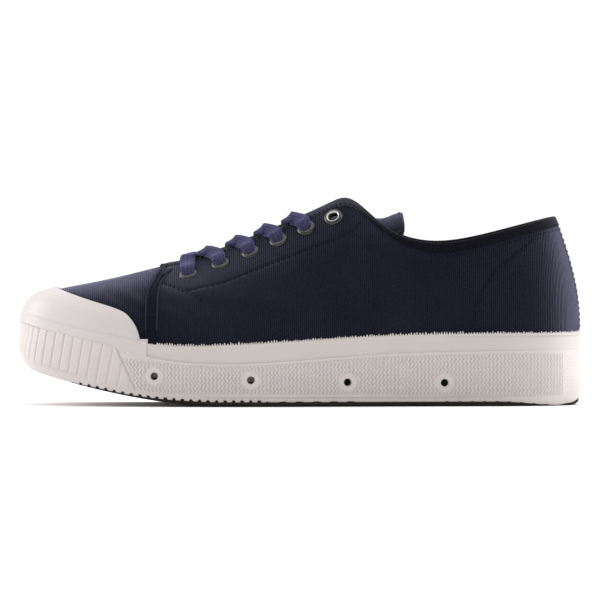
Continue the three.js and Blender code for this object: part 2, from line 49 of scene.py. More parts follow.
LENGTH = 290.0
GAP = 0.3
CANVAS = 1.8
FEATHER_INSET = 3.0
TOE_SPRING = 20.0
ROLL = 105.0
SPRING_POWER = 1.66
FOREFOOT_STACK = 12.0
HEEL_STACK = 20.0
ARCH_LIFT = 1.5
FOXING_INSET = 1.1
CAP_THICKNESS = 1.9
EYELET_X = np.array([88, 104.6, 119.9, 134.4, 148.6, 162.5])
EYELET_SETBACK = np.array([18, 14.4, 12.6, 11.6, 11, 10.8])
LACED_PAIRS = 5
LACE_WIDTH = 8.2
LACE_THICKNESS = 2.0
RIB_X = [1.4, 2.9, 4.7, 7.3, 10.6, 15.0, 19.8, 24.6, 29.4, 34.5, 39.7, 45.0, 50.7, 56.6, 62.6]
RIB_DEPTH = 0.9
NOTCH_PITCH = 4.38
SLANT_X, SLANT_Z, SLANT_LEAN = 50.7, 30.6, 0.47  # the line that parts the ribs from the side panel
RIB_LEAN_TOP, RIB_LEAN = 36, 0.2  # the ribs lean forward below this height, by this share
RIB_FOOT = ([0, 7.7, 21, 35.6, 46.8, 60], [26.2, 22.3, 18.8, 14.8, 11.7, 9.2])
PANEL_FOOT = ([57, 61, 74.5, 113, 180, 231, 258, 289], [10.3, 8.8, 7.0, 6.8, 6.6, 5.4, 5.0, 6.2])
PANEL_HEAD = ([54, 65, 81, 95], [25.3, 23.6, 21.6, 30])
VENT_DISC, VENT_CLEAR = 4.7, 2.3  # radius of the smooth disc, and of the hole cut in the wall
VENTS = [(70.6 + 49.6 * n, 15.7 - 3.6 * (1 - (1 - n / 3) ** 2)) for n in range(4)]

# Turned profiles, as (radius, height out of the surface).
VENT_LIP = [(2.75, -0.5), (2.7, -0.05), (2.5, 0.03), (2.25, 0.0), (2.05, -0.25), (1.97, -0.6), (1.9, -1.0),
            (1.86, -3.2)]
VENT_HOLLOW = [(1.88, -2.6), (1.84, -3.4), (1.8, -5.5), (1.2, -5.6), (0.02, -5.6)]
EYELET_RING = [(4.9, -0.5), (4.94, 0.0), (4.8, 0.36), (4.45, 0.68), (3.95, 0.92), (3.5, 1.04), (3.1, 1.02),
               (2.78, 0.82), (2.6, 0.45), (2.52, -0.1), (2.5, -1.0), (2.55, -2.6)]

# The sole's outline and the heights on its wall, at 13 places that crowd towards both ends.
OUTLINE = {
    "outer": [7.0, -12.8, -28.0, -41.0, -49.2, -52.3, -49.4, -43.6, -39.2, -36.8, -30.4, -17.0, 0.5],
    "inner": [7.0, 25.6, 39.6, 47.4, 50.2, 47.2, 39.8, 34.6, 34.0, 35.6, 31.4, 18.4, 0.5],
    "wall": [43.3, 41.9, 38.1, 32.9, 25.0, 22.3, 24.0, 26.8, 28.2, 28.8, 28.8, 28.8, 28.8],
    "foxing": [46.3, 45.3, 42.3, 37.8, 31.5, 31.1, 33.2, 35.5, 36.5, 36.9, 36.9, 36.9, 36.9],
}

# The upper's open edge, from the front of the throat, over its peak and round the collar.
TOPLINE = {
    "x": [78, 80, 87.5, 104, 124, 145, 160, 168, 175.6, 186, 199, 215, 232, 249, 263.5, 273, 276],
    "reach": [0, 4.6, 7.2, 8.8, 10.8, 13.2, 15.4, 16.6, 18.2, 21.8, 25.8, 28.4, 28.8, 26.4, 20, 11, 0],
    "z": [72.2, 72.6, 74.2, 79.4, 87.2, 96, 102.8, 105.6, 102.6, 93.7, 86, 83.1, 84.9, 89, 93, 95.5, 96.2],
}

# The upper's sections, fanned from toe to heel, each from a foot on the outline to a top on the
# topline over three control points: the wall, the shoulder and the roof.
SECTIONS = {
    "foot": [0, 1, 2, 3, 4, 5, 5.9, 6.45, 6.72, 6.98, 7.4, 8.05, 8.95, 9.95, 11, 12],
    "top": [0, 0.45, 0.95, 1.6, 2.4, 3.5, 4.8, 6, 7, 8, 9.2, 10.9, 12.7, 14.1, 15.1, 16],
    "wall_out": [0.5, 0.6, 0.8, 1.0, 1.2, 1.4, 1.2, 1.0, 1.0, 1.0, 1.2, 1.6, 2.0, 2.3, 2.5, 2.5],
    "wall_rise": [0.65, 0.645, 0.61, 0.53, 0.43, 0.37, 0.34, 0.33, 0.33, 0.33, 0.32, 0.3, 0.28,
                  0.26, 0.25, 0.25],
    "shoulder_out": [0, 0, 0, 0, 0.3, 0.5, 0.5, 0.6, 0.7, 0.9, 1.2, 1.8, 2.6, 3.2, 3.5, 3.5],
    "shoulder_in": [0.02, 0.02, 0.03, 0.05, 0.08, 0.1, 0.12, 0.14, 0.15, 0.15, 0.12, 0.08, 0.04, 0, 0, 0],
    "shoulder_rise": [0.73, 0.73, 0.71, 0.68, 0.65, 0.62, 0.6, 0.59, 0.58, 0.57, 0.56, 0.54, 0.5,
                      0.47, 0.45, 0.45],
    "roof_in": [0.33, 0.33, 0.35, 0.4, 0.47, 0.5, 0.5, 0.5, 0.52, 0.55, 0.55, 0.54, 0.48, 0.42, 0.38, 0.36],
    "roof_rise": [0.665, 0.67, 0.69, 0.73, 0.76, 0.79, 0.85, 0.88, 0.88, 0.87, 0.84, 0.79, 0.78,
                  0.77, 0.76, 0.76],
}

# Lines drawn on the upper's side, as (x, z): they are the same on both sides.
CAP_EDGE = [(8, 63.5), (20.6, 58.9), (35.6, 54.0), (46.8, 50.8), (54.6, 48.0), (58.6, 44.8),
            (61.6, 40.4), (63.6, 34.4)]
CAP_END = 3.83
CAP_BEAD = [(0, 47.7), (3.9, 46.9), (13.3, 44.3), (30.0, 40.2), (46.8, 37.1), (66, 33.1)]
BAND_FRONT = [(66.6, 29.0), (66.5, 39.0), (66.9, 55.0), (69.7, 63.0), (73.6, 69.0), (80.0, 73.0)]
BAND_BACK = [(72.2, 29.0), (72.0, 39.0), (72.4, 55.0), (74.0, 62.5), (77.4, 66.6), (83.2, 70.6)]
EYESTAY_SEAM = [(87.5, 58.4), (94.0, 60.0), (105.0, 62.7), (114.5, 66.3), (123.2, 69.8), (133.4, 73.7),
                (143.6, 77.7), (152.3, 81.2), (163.3, 85.1), (172.0, 89.6), (177.5, 95.5)]
WAIST_SEAM = [(72.8, 62.9), (79.5, 60.9), (86.6, 57.9), (95.7, 54.0), (103.8, 49.2),
              (112.9, 43.7), (117.0, 41.2)]
COUNTER_SEAM = [(264.0, 85.0), (253.2, 75.8), (244.4, 68.1), (238.9, 59.2), (235.2, 49.3),
                (233.9, 42.0), (233.3, 37.4)]

# Creases across the canvas: from and to as (x, z), depth, and half width.
CREASES = [((63, 58), (84, 50), 0.3, 3.2), ((48, 57), (70, 45), 0.3, 2.6), ((96, 52), (140, 40), 0.35, 5.0),
           ((128, 60), (190, 46), 0.4, 7.0), ((205, 70), (238, 52), 0.4, 5.0),
           ((180, 80), (210, 62), 0.35, 5.0)]

# The tongue's middle line from the side, and half its width.
TONGUE = {
    "x": [73, 92, 112, 132, 152, 172, 186, 198],
    "z": [67.6, 72.6, 78.8, 85.4, 94.6, 99.0, 96.2, 98.2],
    "half": [11, 12.5, 14.5, 17, 18, 18.5, 20, 20.5],
}
TONGUE_THICKNESS = 2.4
TONGUE_ARCH = 0.02


# ---------------------------------------------------------------- curves

def through(values, ends):
    """The cubic B-spline that passes through evenly spaced values: its knots are relaxed until the
    curve meets each one. Ends are mirrored (even), turned half round (odd) or joined (round)."""
    values = np.array(values, float)
    n = len(values)

    def at(knots, i):
        if ends == "round":
            return knots[i % n]
        mirrored = np.where(i < 0, -i, np.where(i > n - 1, 2 * (n - 1) - i, i))
        got = knots[mirrored]
        if ends == "odd":
            got = np.where(i < 0, 2 * knots[0] - got, np.where(i > n - 1, 2 * knots[-1] - got, got))
        return got

    knots, index = values.copy(), np.arange(n)
    for _ in range(60):
        knots = knots + values - (at(knots, index - 1) + 4 * knots + at(knots, index + 1)) / 6

    def curve(t):
        t = np.asarray(t, float)
        i = np.floor(t).astype(int)
        f = t - i
        g = 1 - f
        return (g**3 * at(knots, i - 1) + (4 - 6 * f**2 + 3 * f**3) * at(knots, i)
                + (4 - 6 * g**2 + 3 * g**3) * at(knots, i + 1) + f**3 * at(knots, i + 2)) / 6

    return curve


def smooth(t):
    """The soft step 3t^2 - 2t^3, held at 0 and 1 outside."""
    t = np.clip(t, 0, 1)
    return t * t * (3 - 2 * t)


def mix(a, b, t):
    """The point a share t of the way from a to b."""
    return a + (b - a) * t


def bell(d, width):
    """A bump of height 1 that fades with the square of distance over width."""
    return np.exp(-((d / width) ** 2))


def unit(a):
    """Vectors shortened to length one."""
    return a / np.maximum(np.linalg.norm(a, axis=-1, keepdims=True), 1e-9)


def way(points):
    """How far each point of a path is from the first, the running sum of its steps. Paths run along
    the last axis but one, so a stack of paths gives a stack of ways."""
    steps = np.linalg.norm(np.diff(points, axis=-2), axis=-1)
    return np.concatenate([np.zeros_like(steps[..., :1]), np.cumsum(steps, axis=-1)], -1)


def along(points, count):
    """A smooth line through a few points, cut into count points an even distance apart."""
    points = np.array(points, float)
    t = np.linspace(0, len(points) - 1, 60 * len(points))
    dense = np.stack([through(c, "odd")(t) for c in points.T], -1)
    walked = way(dense)
    return np.stack([np.interp(np.linspace(0, walked[-1], count), walked, c) for c in dense.T], -1)


# ---------------------------------------------------------------- the last

ROWS = len(OUTLINE["outer"]) - 1
FANS = len(SECTIONS["foot"]) - 1
outline_y = through(OUTLINE["outer"] + OUTLINE["inner"][-2:0:-1], "round")
wall_curve, foxing_curve = through(OUTLINE["wall"], "even"), through(OUTLINE["foxing"], "even")
top_x, top_z = through(TOPLINE["x"], "even"), through(TOPLINE["z"], "even")
top_reach = through(TOPLINE["reach"], "odd")
section = {key: through(v, "odd" if key in ("foot", "top") else "even") for key, v in SECTIONS.items()}


def foot_x(foot):
    """x of a place on the outline: places crowd towards both ends like points on a half circle."""
    return LENGTH * (1 - np.cos(np.pi * foot / ROWS)) / 2


def wall_top(foot):
    """Height of the thick sole wall at a place on the outline, the same on both sides."""
    return wall_curve(np.where(foot > ROWS, 2 * ROWS - foot, foot))


def foxing_top(foot):
    """Height of the thin band above the sole wall."""
    return foxing_curve(np.where(foot > ROWS, 2 * ROWS - foot, foot))


def outline(foot, inset=0.0):
    """A point of the sole's outline moved inwards, and the outward direction there."""
    step = 0.01
    ax, ay = foot_x(foot + step) - foot_x(foot - step), outline_y(foot + step) - outline_y(foot - step)
    size = np.hypot(ax, ay)
    ox, oy = ay / size, -ax / size
    return foot_x(foot) - ox * inset, outline_y(foot) - oy * inset, ox, oy


def inside(x, y, ox, oy, inset, z):
    """Points set in from the outline, a row of heights for each place: (x, y) - outward * inset."""
    x, y, ox, oy = (column[:, None] for column in (x, y, ox, oy))
    return np.stack(np.broadcast_arrays(x - ox * inset, y - oy * inset, z), -1)


def spring(x):
    """The sole's lift towards the toe, a power curve that starts at the ball."""
    return TOE_SPRING * np.maximum(0, (ROLL - x) / ROLL) ** SPRING_POWER


def floor_z(x):
    """Height of the sole's floor under the foot."""
    return 0.8 * spring(x) + mix(FOREFOOT_STACK, HEEL_STACK, smooth((x - 110) / 110))


def axis_y(x):
    """The throat's axis."""
    return 5 * (1 - x / LENGTH)


def foot_of(fan):
    """The place on the outline of a fan number (0 toe, FANS heel, 2 FANS toe again)."""
    foot = section["foot"](np.where(fan > FANS, 2 * FANS - fan, fan))
    return np.where(fan > FANS, 2 * ROWS - foot, foot)


def fans_round(columns):
    """Fan numbers once round the shoe, an even step apart."""
    return np.arange(columns) * 2 * FANS / columns


def skin_points(fan, v):
    """The upper's face: a quartic Bezier from the feather edge to the topline for each fan number."""
    fan = np.mod(fan, 2 * FANS)
    row = np.where(fan > FANS, 2 * FANS - fan, fan)
    side = np.where(fan > FANS, 1.0, -1.0)
    s = {key: curve(row) for key, curve in section.items()}
    bx, by, ox, oy = outline(foot_of(fan), FEATHER_INSET)
    tx = top_x(s["top"])
    foot = (bx, by, floor_z(bx) + GAP)
    top = (tx, axis_y(tx) + side * top_reach(s["top"]), top_z(s["top"]))

    def place(out, share, rise):
        return (mix(foot[0], top[0], share) + ox * out, mix(foot[1], top[1], share) + oy * out,
                mix(foot[2], top[2], rise))

    points = [foot, place(s["wall_out"], 0, s["wall_rise"]),
              place(s["shoulder_out"], s["shoulder_in"], s["shoulder_rise"]),
              place(0, s["roof_in"], s["roof_rise"]), top]
    shares = [(1, 4, 6, 4, 1)[i] * v**i * (1 - v) ** (4 - i) for i in range(5)]
    return np.stack([sum(w * p[k] for w, p in zip(shares, points)) for k in range(3)], -1)


def skin_normal(fan, v):
    """Outward direction: the slope round the shoe crossed with the slope up it."""
    step = 0.02
    round_ = skin_points(fan + step, v) - skin_points(fan - step, v)
    up = skin_points(fan, np.minimum(1, v + step)) - skin_points(fan, np.maximum(0, v - step))
    return unit(np.cross(round_, up))


def on_skin(fan, v, lift=0.0):
    """A point of the upper, lifted off it."""
    fan, v, lift = np.broadcast_arrays(np.asarray(fan, float), np.asarray(v, float), np.asarray(lift, float))
    return skin_points(fan, v) + skin_normal(fan, v) * lift[..., None]


def share_at_height(fan, z, top=0.6):
    """v at which the section reaches height z, by halving."""
    low, high = np.zeros_like(fan + z), np.full_like(fan + z, top)
    for _ in range(24):
        mid = (low + high) / 2
        below = skin_points(fan, mid)[..., 2] < z
        low, high = np.where(below, mid, low), np.where(below, high, mid)
    return (low + high) / 2


def share_below_edge(fan, depth):
    """v at an arc length below the topline. fan is (n,), depth is (m,), and the answer is (n, m)."""
    v = np.linspace(1, 0.4, 160)
    points = skin_points(fan[:, None], v[None, :])
    return np.stack([np.interp(depth, walked, v) for walked in way(points)])


def seat(line, side):
    """(fan, v) of points (x, z) seen from the side, by Newton's steps from the nearest of a coarse net."""
    line = np.asarray(line, float)
    f0, v0 = np.meshgrid(np.linspace(0.3, FANS - 0.2, 120), np.linspace(0.05, 1, 80), indexing="ij")
    net = skin_points(f0 if side < 0 else 2 * FANS - f0, v0)[..., [0, 2]].reshape(-1, 2)
    near = np.argmin(((net[None] - line[:, None]) ** 2).sum(-1), axis=1)
    f, v = f0.reshape(-1)[near], v0.reshape(-1)[near]

    def flat(f, v):
        return skin_points(f if side < 0 else 2 * FANS - f, v)[..., [0, 2]]

    for _ in range(12):
        miss = line - flat(f, v)
        df = (flat(f + 0.005, v) - flat(f - 0.005, v)) / 0.01
        dv = (flat(f, v + 0.005) - flat(f, v - 0.005)) / 0.01
        det = df[:, 0] * dv[:, 1] - df[:, 1] * dv[:, 0]
        det = np.where(np.abs(det) < 1e-3, 1e-3, det)
        f_step = (miss[:, 0] * dv[:, 1] - miss[:, 1] * dv[:, 0]) / det
        v_step = (df[:, 0] * miss[:, 1] - df[:, 1] * miss[:, 0]) / det
        f = np.clip(f + np.clip(f_step, -0.4, 0.4), 0.02, FANS - 0.02)
        v = np.clip(v + np.clip(v_step, -0.05, 0.05), 0.01, 1)
    return (f if side < 0 else 2 * FANS - f), v


def line_distance(x, z, line):
    """Distance from each (x, z) to a broken line, the least over its stretches."""
    best = np.full(x.shape, 1e9)
    for (ax, az), (bx, bz) in zip(line[:-1], line[1:]):
        t = np.clip(((x - ax) * (bx - ax) + (z - az) * (bz - az)) / ((bx - ax) ** 2 + (bz - az) ** 2), 0, 1)
        best = np.minimum(best, np.hypot(x - ax - t * (bx - ax), z - az - t * (bz - az)))
    return best


# ---------------------------------------------------------------- meshes

low_corner = np.array(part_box("outsole")[0]) * 1000
all_feet = np.linspace(0, 2 * ROWS, 2000)
SHIFT = np.array([low_corner[0], low_corner[1] - outline(all_feet)[1].min(), low_corner[2]])


def to_frame(points):
    """Millimetres from the toe tip, as metres in the frame."""
    return (points + SHIFT) / 1000


def mesh_piece(name, verts, faces, material, uv=None, replaced=(), values=None):
    """A smooth-shaded mesh object from arrays of corners and faces, riding on the shoe."""
    mesh = bpy.data.meshes.new(name)
    mesh.vertices.add(len(verts))
    mesh.vertices.foreach_set("co", to_frame(verts).astype(np.float32).ravel())
    size = faces.shape[1]
    mesh.loops.add(faces.size)
    mesh.loops.foreach_set("vertex_index", faces.astype(np.int32).ravel())
    mesh.polygons.add(len(faces))
    mesh.polygons.foreach_set("loop_start", np.arange(0, faces.size, size, dtype=np.int32))
    mesh.polygons.foreach_set("use_smooth", np.ones(len(faces), bool))
    mesh.update(calc_edges=True)
    if uv is not None:
        layer = mesh.uv_layers.new(name="cloth")
        layer.data.foreach_set("uv", (uv / 1000).astype(np.float32).ravel())
    for key, value in (values or {}).items():
        mesh.attributes.new(key, "FLOAT", "POINT").data.foreach_set("value", value.astype(np.float32).ravel())
    mesh.validate()
    piece = bpy.data.objects.new(name, mesh)
    bpy.context.scene.collection.objects.link(piece)
    mesh.materials.append(material)
    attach(piece, "root")
    if replaced:
        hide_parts(*replaced)
    return piece


def grid_faces(columns, rows, closed=False):
    """Four-cornered faces of a grid whose columns turn left round the shoe and whose rows climb."""
    c = np.arange(columns if closed else columns - 1)[:, None]
    r = np.arange(rows - 1)[None, :]
    n = (c + 1) % columns
    corners = [c * rows + r, n * rows + r, n * rows + r + 1, c * rows + r + 1]
    return np.stack([q.reshape(-1) for q in np.broadcast_arrays(*corners)], -1)


def grid_piece(name, points, material, uv=None, closed=False, keep=None, replaced=(), values=None,
               flip=False):
    """A piece from points[column, row]. uv is (columns + 1 if closed, rows, 2) in millimetres, and
    keep marks the faces that stay."""
    columns, rows = points.shape[:2]
    faces = grid_faces(columns, rows, closed)
    corner_uv = None
    if uv is not None:
        wide = grid_faces(columns + 1 if closed else columns, rows)
        corner_uv = uv.reshape(-1, 2)[wide]
    if keep is not None:
        faces, corner_uv = faces[keep.reshape(-1)], None if corner_uv is None else corner_uv[keep.reshape(-1)]
    if flip:
        faces, corner_uv = faces[:, ::-1], None if corner_uv is None else corner_uv[:, ::-1]
    return mesh_piece(name, points.reshape(-1, 3), faces, material, corner_uv, replaced, values)


def swept(path, up, profile, width, thickness):
    """A section carried along a path: profile's first number runs across, its second along up.
    The section closes on itself, and its ends are drawn to a point on the path."""
    ahead = unit(np.gradient(path, axis=0))
    across = unit(np.cross(up, ahead))
    up = np.cross(ahead, across)
    body = (path[:, None] + across[:, None] * (profile[None, :, :1] * width[:, None, None])
            + up[:, None] * (profile[None, :, 1:] * thickness[:, None, None]))
    ends = [np.repeat(path[k][None, None], body.shape[1], axis=1) for k in (0, -1)]
    return np.concatenate([ends[0], body, ends[1]], 0)


def stitches(name, lines, material, length=1.9, pitch=2.7, radius=0.24, sink=0.12):
    """Rows of thread: every stitch is a short bead whose radius swells and shrinks along it, with its
    ends pulled into the cloth. lines holds (points, normals)."""
    t = np.linspace(0, 1, 7)
    turn = np.arange(6) * np.pi / 3
    girth = np.sqrt(np.clip(1 - (2 * t - 1) ** 4, 0.02, 1))
    verts, faces, start = [], [], 0
    for points, normals in lines:
        walked = way(points)
        at = np.arange(pitch / 2, walked[-1] - length / 2, pitch)[:, None] + (t[None] - 0.5) * length
        p = np.stack([np.interp(at, walked, points[:, k]) for k in range(3)], -1)
        n = unit(np.stack([np.interp(at, walked, normals[:, k]) for k in range(3)], -1))
        ahead = unit(np.gradient(p, axis=1))
        side = np.cross(n, ahead)
        rise = (np.sin(np.pi * t) ** 0.7 * (radius + sink) - sink)[None, :, None]
        spoke = (side[:, :, None] * np.cos(turn)[None, None, :, None]
                 + n[:, :, None] * np.sin(turn)[None, None, :, None])
        ring = (p + n * rise)[:, :, None] + radius * girth[None, :, None, None] * spoke
        count = ring.shape[0]
        verts.append(ring.reshape(-1, 3))
        k, i, j = np.meshgrid(np.arange(count), np.arange(6), np.arange(6), indexing="ij")
        a = start + (k * 7 + i) * 6 + j
        b = start + (k * 7 + i) * 6 + (j + 1) % 6
        faces.append(np.stack([a, b, b + 6, a + 6], -1).reshape(-1, 4))
        start += count * 42
    return mesh_piece(name, np.concatenate(verts), np.concatenate(faces), material)


def seam_line(line, side, lift, count=260):
    """A line drawn on the side, laid on the upper: points and normals."""
    fan, v = seat(along(line, count), side)
    return on_skin(fan, v, lift), skin_normal(fan, v)


# ---------------------------------------------------------------- shader groups

def group(name, inputs, outputs):
    """An empty shader group with named inputs (name: default number, or None for a vector) and named
    outputs, which are numbers."""
    tree = bpy.data.node_groups.new(name, "ShaderNodeTree")
    for label, default in inputs.items():
        kind = "NodeSocketVector" if default is None else "NodeSocketFloat"
        socket = tree.interface.new_socket(label, in_out="INPUT", socket_type=kind)
        if default is not None:
            socket.default_value = default
    for label in outputs:
        tree.interface.new_socket(label, in_out="OUTPUT", socket_type="NodeSocketFloat")
    return tree, tree.nodes.new("NodeGroupInput"), tree.nodes.new("NodeGroupOutput")


def math_node(tree, operation, a, b=None, c=None):
    """One Math node. Each of a, b and c is a number or a socket."""
    node = tree.nodes.new("ShaderNodeMath")
    node.operation = operation
    for i, value in enumerate((a, b, c)):
        if value is None:
            continue
        if isinstance(value, (int, float)):
            node.inputs[i].default_value = value
        else:
            tree.links.new(value, node.inputs[i])
    return node.outputs[0]


def noise(tree, vector, detail, rough=0.55):
    """A Noise texture's value, one cloud to a unit of the vector."""
    node = tree.nodes.new("ShaderNodeTexNoise")
    node.inputs["Scale"].default_value = 1.0
    node.inputs["Detail"].default_value = detail
    node.inputs["Roughness"].default_value = rough
    tree.links.new(vector, node.inputs["Vector"])
    return node.outputs[0]


def ramp(tree, value, low, high):
    """A soft step of a value between low and high."""
    node = tree.nodes.new("ShaderNodeMapRange")
    node.interpolation_type = "SMOOTHSTEP"
    tree.links.new(value, node.inputs["Value"])
    node.inputs["From Min"].default_value = low
    node.inputs["From Max"].default_value = high
    return node.outputs["Result"]


def scaled(tree, vector, factor):
    """A vector times a number or three."""
    node = tree.nodes.new("ShaderNodeVectorMath")
    node.operation = "MULTIPLY"
    tree.links.new(vector, node.inputs[0])
    node.inputs[1].default_value = factor if isinstance(factor, tuple) else (factor,) * 3
    return node.outputs[0]


def weave_group():
    """Ribbed cloth. Raised warp cords a Pitch apart, bound by a finer weft, wander a little; Height is
    their relief, Gap the painted shade between them, and Fleck the uneven dye of single threads."""
    tree, into, out = group("cloth_weave", {"Vector": None, "Pitch": 1.0, "Weft": 0.6, "Wander": 0.25},
                            ("Height", "Gap", "Fleck"))
    mm = scaled(tree, into.outputs["Vector"], 1000.0)
    split = tree.nodes.new("ShaderNodeSeparateXYZ")
    tree.links.new(mm, split.inputs[0])
    drift = math_node(tree, "SUBTRACT", noise(tree, scaled(tree, mm, (0.9, 0.12, 1.0)), 2.0), 0.5)
    shifted = math_node(tree, "MULTIPLY_ADD", drift, into.outputs["Wander"], split.outputs[0])
    cords = math_node(tree, "DIVIDE", shifted, into.outputs["Pitch"])
    turns = math_node(tree, "MULTIPLY", cords, math.tau)
    cord = math_node(tree, "MULTIPLY_ADD", math_node(tree, "COSINE", turns), 0.5, 0.5)
    threads = math_node(tree, "DIVIDE", split.outputs[1], into.outputs["Weft"])
    weft_turns = math_node(tree, "MULTIPLY", threads, math.tau)
    half_turn = math_node(tree, "MULTIPLY", turns, 0.5)
    wave = math_node(tree, "SINE", math_node(tree, "ADD", weft_turns, half_turn))
    weft = math_node(tree, "MULTIPLY_ADD", wave, 0.5, 0.5)
    height = math_node(tree, "MULTIPLY", math_node(tree, "POWER", cord, 0.6),
                       math_node(tree, "MULTIPLY_ADD", weft, 0.35, 0.65))
    bound = math_node(tree, "MULTIPLY", math_node(tree, "POWER", cord, 0.5),
                      math_node(tree, "MULTIPLY_ADD", weft, 0.5, 0.5))
    # Painted shade: how much shade is painted where the cords part.
    gap_shade = math_node(tree, "SUBTRACT", 1.0, bound)
    fleck = noise(tree, scaled(tree, mm, (1.3, 0.7, 1.0)), 4.0, 0.75)
    for label, value in (("Height", height), ("Gap", gap_shade), ("Fleck", fleck)):
        tree.links.new(value, out.inputs[label])
    return tree


def wear_group():
    """Handling and dust on any surface. Mottle is a broad cloudiness, Speck a scatter of fine marks,
    and Dust settles low down, over the lowest two centimetres."""
    tree, into, out = group("wear", {"Mottle Scale": 40.0, "Speck Scale": 900.0}, ("Mottle", "Speck", "Dust"))
    place = tree.nodes.new("ShaderNodeTexCoord").outputs["Object"]
    cloud = tree.nodes.new("ShaderNodeTexNoise")
    cloud.inputs["Detail"].default_value = 4.0
    tree.links.new(place, cloud.inputs["Vector"])
    tree.links.new(into.outputs["Mottle Scale"], cloud.inputs["Scale"])
    speck = tree.nodes.new("ShaderNodeTexNoise")
    speck.inputs["Detail"].default_value = 2.0
    tree.links.new(place, speck.inputs["Vector"])
    tree.links.new(into.outputs["Speck Scale"], speck.inputs["Scale"])
    split = tree.nodes.new("ShaderNodeSeparateXYZ")
    tree.links.new(place, split.inputs[0])
    low = ramp(tree, split.outputs[2], 0.02, 0.0)
    dust = math_node(tree, "MULTIPLY", low, cloud.outputs[0])
    tree.links.new(cloud.outputs[0], out.inputs["Mottle"])
    tree.links.new(ramp(tree, speck.outputs[0], 0.62, 0.8), out.inputs["Speck"])
    tree.links.new(dust, out.inputs["Dust"])
    return tree


def zigzag_group():
    """Vertical zigzag lines pressed into rubber: the distance across is shifted by a triangle wave of
    the height, and each line is a soft trench."""
    tree, into, out = group("zigzag_tread", {"Vector": None, "Pitch": 1.95, "Tooth": 2.7, "Swing": 1.2},
                            ("Height", "Line"))
    split = tree.nodes.new("ShaderNodeSeparateXYZ")
    tree.links.new(scaled(tree, into.outputs["Vector"], 1000.0), split.inputs[0])
    teeth = math_node(tree, "DIVIDE", split.outputs[1], into.outputs["Tooth"])
    wave = math_node(tree, "PINGPONG", teeth, 0.5)
    swing = math_node(tree, "MULTIPLY", into.outputs["Swing"], 2.0)
    shifted = math_node(tree, "MULTIPLY_ADD", wave, swing, split.outputs[0])
    part = math_node(tree, "PINGPONG", math_node(tree, "DIVIDE", shifted, into.outputs["Pitch"]), 0.5)
    line = ramp(tree, part, 0.2, 0.02)
    tree.links.new(line, out.inputs["Line"])
    tree.links.new(math_node(tree, "SUBTRACT", 1.0, line), out.inputs["Height"])
    return tree


WEAVE, WEAR, ZIGZAG = weave_group(), wear_group(), zigzag_group()


class Finish:
    """A material with its shader, and short ways to add nodes to it."""

    def __init__(self, name, rough=0.6, **sockets):
        self.material = bpy.data.materials.new(name)
        self.material.use_nodes = True
        self.tree = self.material.node_tree
        self.shader = self.tree.nodes["Principled BSDF"]
        self.shader.inputs["Roughness"].default_value = rough
        for key, value in sockets.items():
            self.shader.inputs[key.replace("_", " ")].default_value = value

    def use(self, tree, **values):
        """A shader group with its own values."""
        node = self.tree.nodes.new("ShaderNodeGroup")
        node.node_tree = tree
        for key, value in values.items():
            socket = node.inputs[key.replace("_", " ")]
            if isinstance(value, (int, float)):
                socket.default_value = value
            else:
                self.tree.links.new(value, socket)
        return node.outputs

    def uv(self):
        node = self.tree.nodes.new("ShaderNodeUVMap")
        node.uv_map = "cloth"
        return node.outputs[0]

    def blend(self, factor, a, b):
        """A colour between a and b, each three numbers or a socket, by a factor from a socket."""
        node = self.tree.nodes.new("ShaderNodeMix")
        node.data_type = "RGBA"
        self.tree.links.new(factor, node.inputs[0])
        for socket, value in ((node.inputs[6], a), (node.inputs[7], b)):
            if isinstance(value, tuple):
                socket.default_value = (*value, 1)
            else:
                self.tree.links.new(value, socket)
        return node.outputs[2]

    def mask(self, name):
        """A number kept on the mesh's points, between 0 and 1."""
        node = self.tree.nodes.new("ShaderNodeAttribute")
        node.attribute_name = name
        return node.outputs["Fac"]

    def recolour(self, name, colour):
        """Another colour over the one it has, where a mask says so."""
        before = self.shader.inputs["Base Color"].links[0].from_socket
        self.colour(self.blend(self.mask(name), before, colour))

    def colour(self, socket):
        self.tree.links.new(socket, self.shader.inputs["Base Color"])

    def bump(self, height, distance, before=None):
        """Relief in metres, over an earlier relief."""
        node = self.tree.nodes.new("ShaderNodeBump")
        node.inputs["Distance"].default_value = distance
        node.inputs["Strength"].default_value = 1.0
        self.tree.links.new(height, node.inputs["Height"])
        if before is not None:
            self.tree.links.new(before, node.inputs["Normal"])
        self.tree.links.new(node.outputs[0], self.shader.inputs["Normal"])
        return node.outputs[0]


def cloth(name, dark, light, pitch, weft, relief, sheen=0.0, tint=(1, 1, 1), gap_shade=0.95):
    """Woven cloth with uneven dye, darkened between its cords by painted shade and so lighter on them."""
    f = Finish(name, 0.9, Sheen_Weight=sheen, Sheen_Roughness=0.32, Sheen_Tint=(*tint, 1),
               Specular_IOR_Level=0.06)
    weave = f.use(WEAVE, Vector=f.uv(), Pitch=pitch, Weft=weft, Wander=0.25)
    wear = f.use(WEAR, Mottle_Scale=35.0)
    cloud = math_node(f.tree, "MULTIPLY_ADD", wear["Mottle"], 0.5, -0.25)
    tone = math_node(f.tree, "MULTIPLY_ADD", weave["Fleck"], 0.9, cloud)
    body = f.blend(ramp(f.tree, tone, 0.15, 0.85), dark, light)
    # Painted shade between the cords: a darker copy of the cloth's own colour.
    shade = tuple(0.45 * c for c in dark)
    f.colour(f.blend(math_node(f.tree, "MULTIPLY", weave["Gap"], gap_shade), body, shade))
    f.bump(weave["Height"], relief)
    return f


def mottled(name, rough, scale, dark, light):
    """A dull finish that only clouds over between two colours."""
    f = Finish(name, rough, Specular_IOR_Level=0.1)
    f.colour(f.blend(f.use(WEAR, Mottle_Scale=scale)["Mottle"], dark, light))
    return f


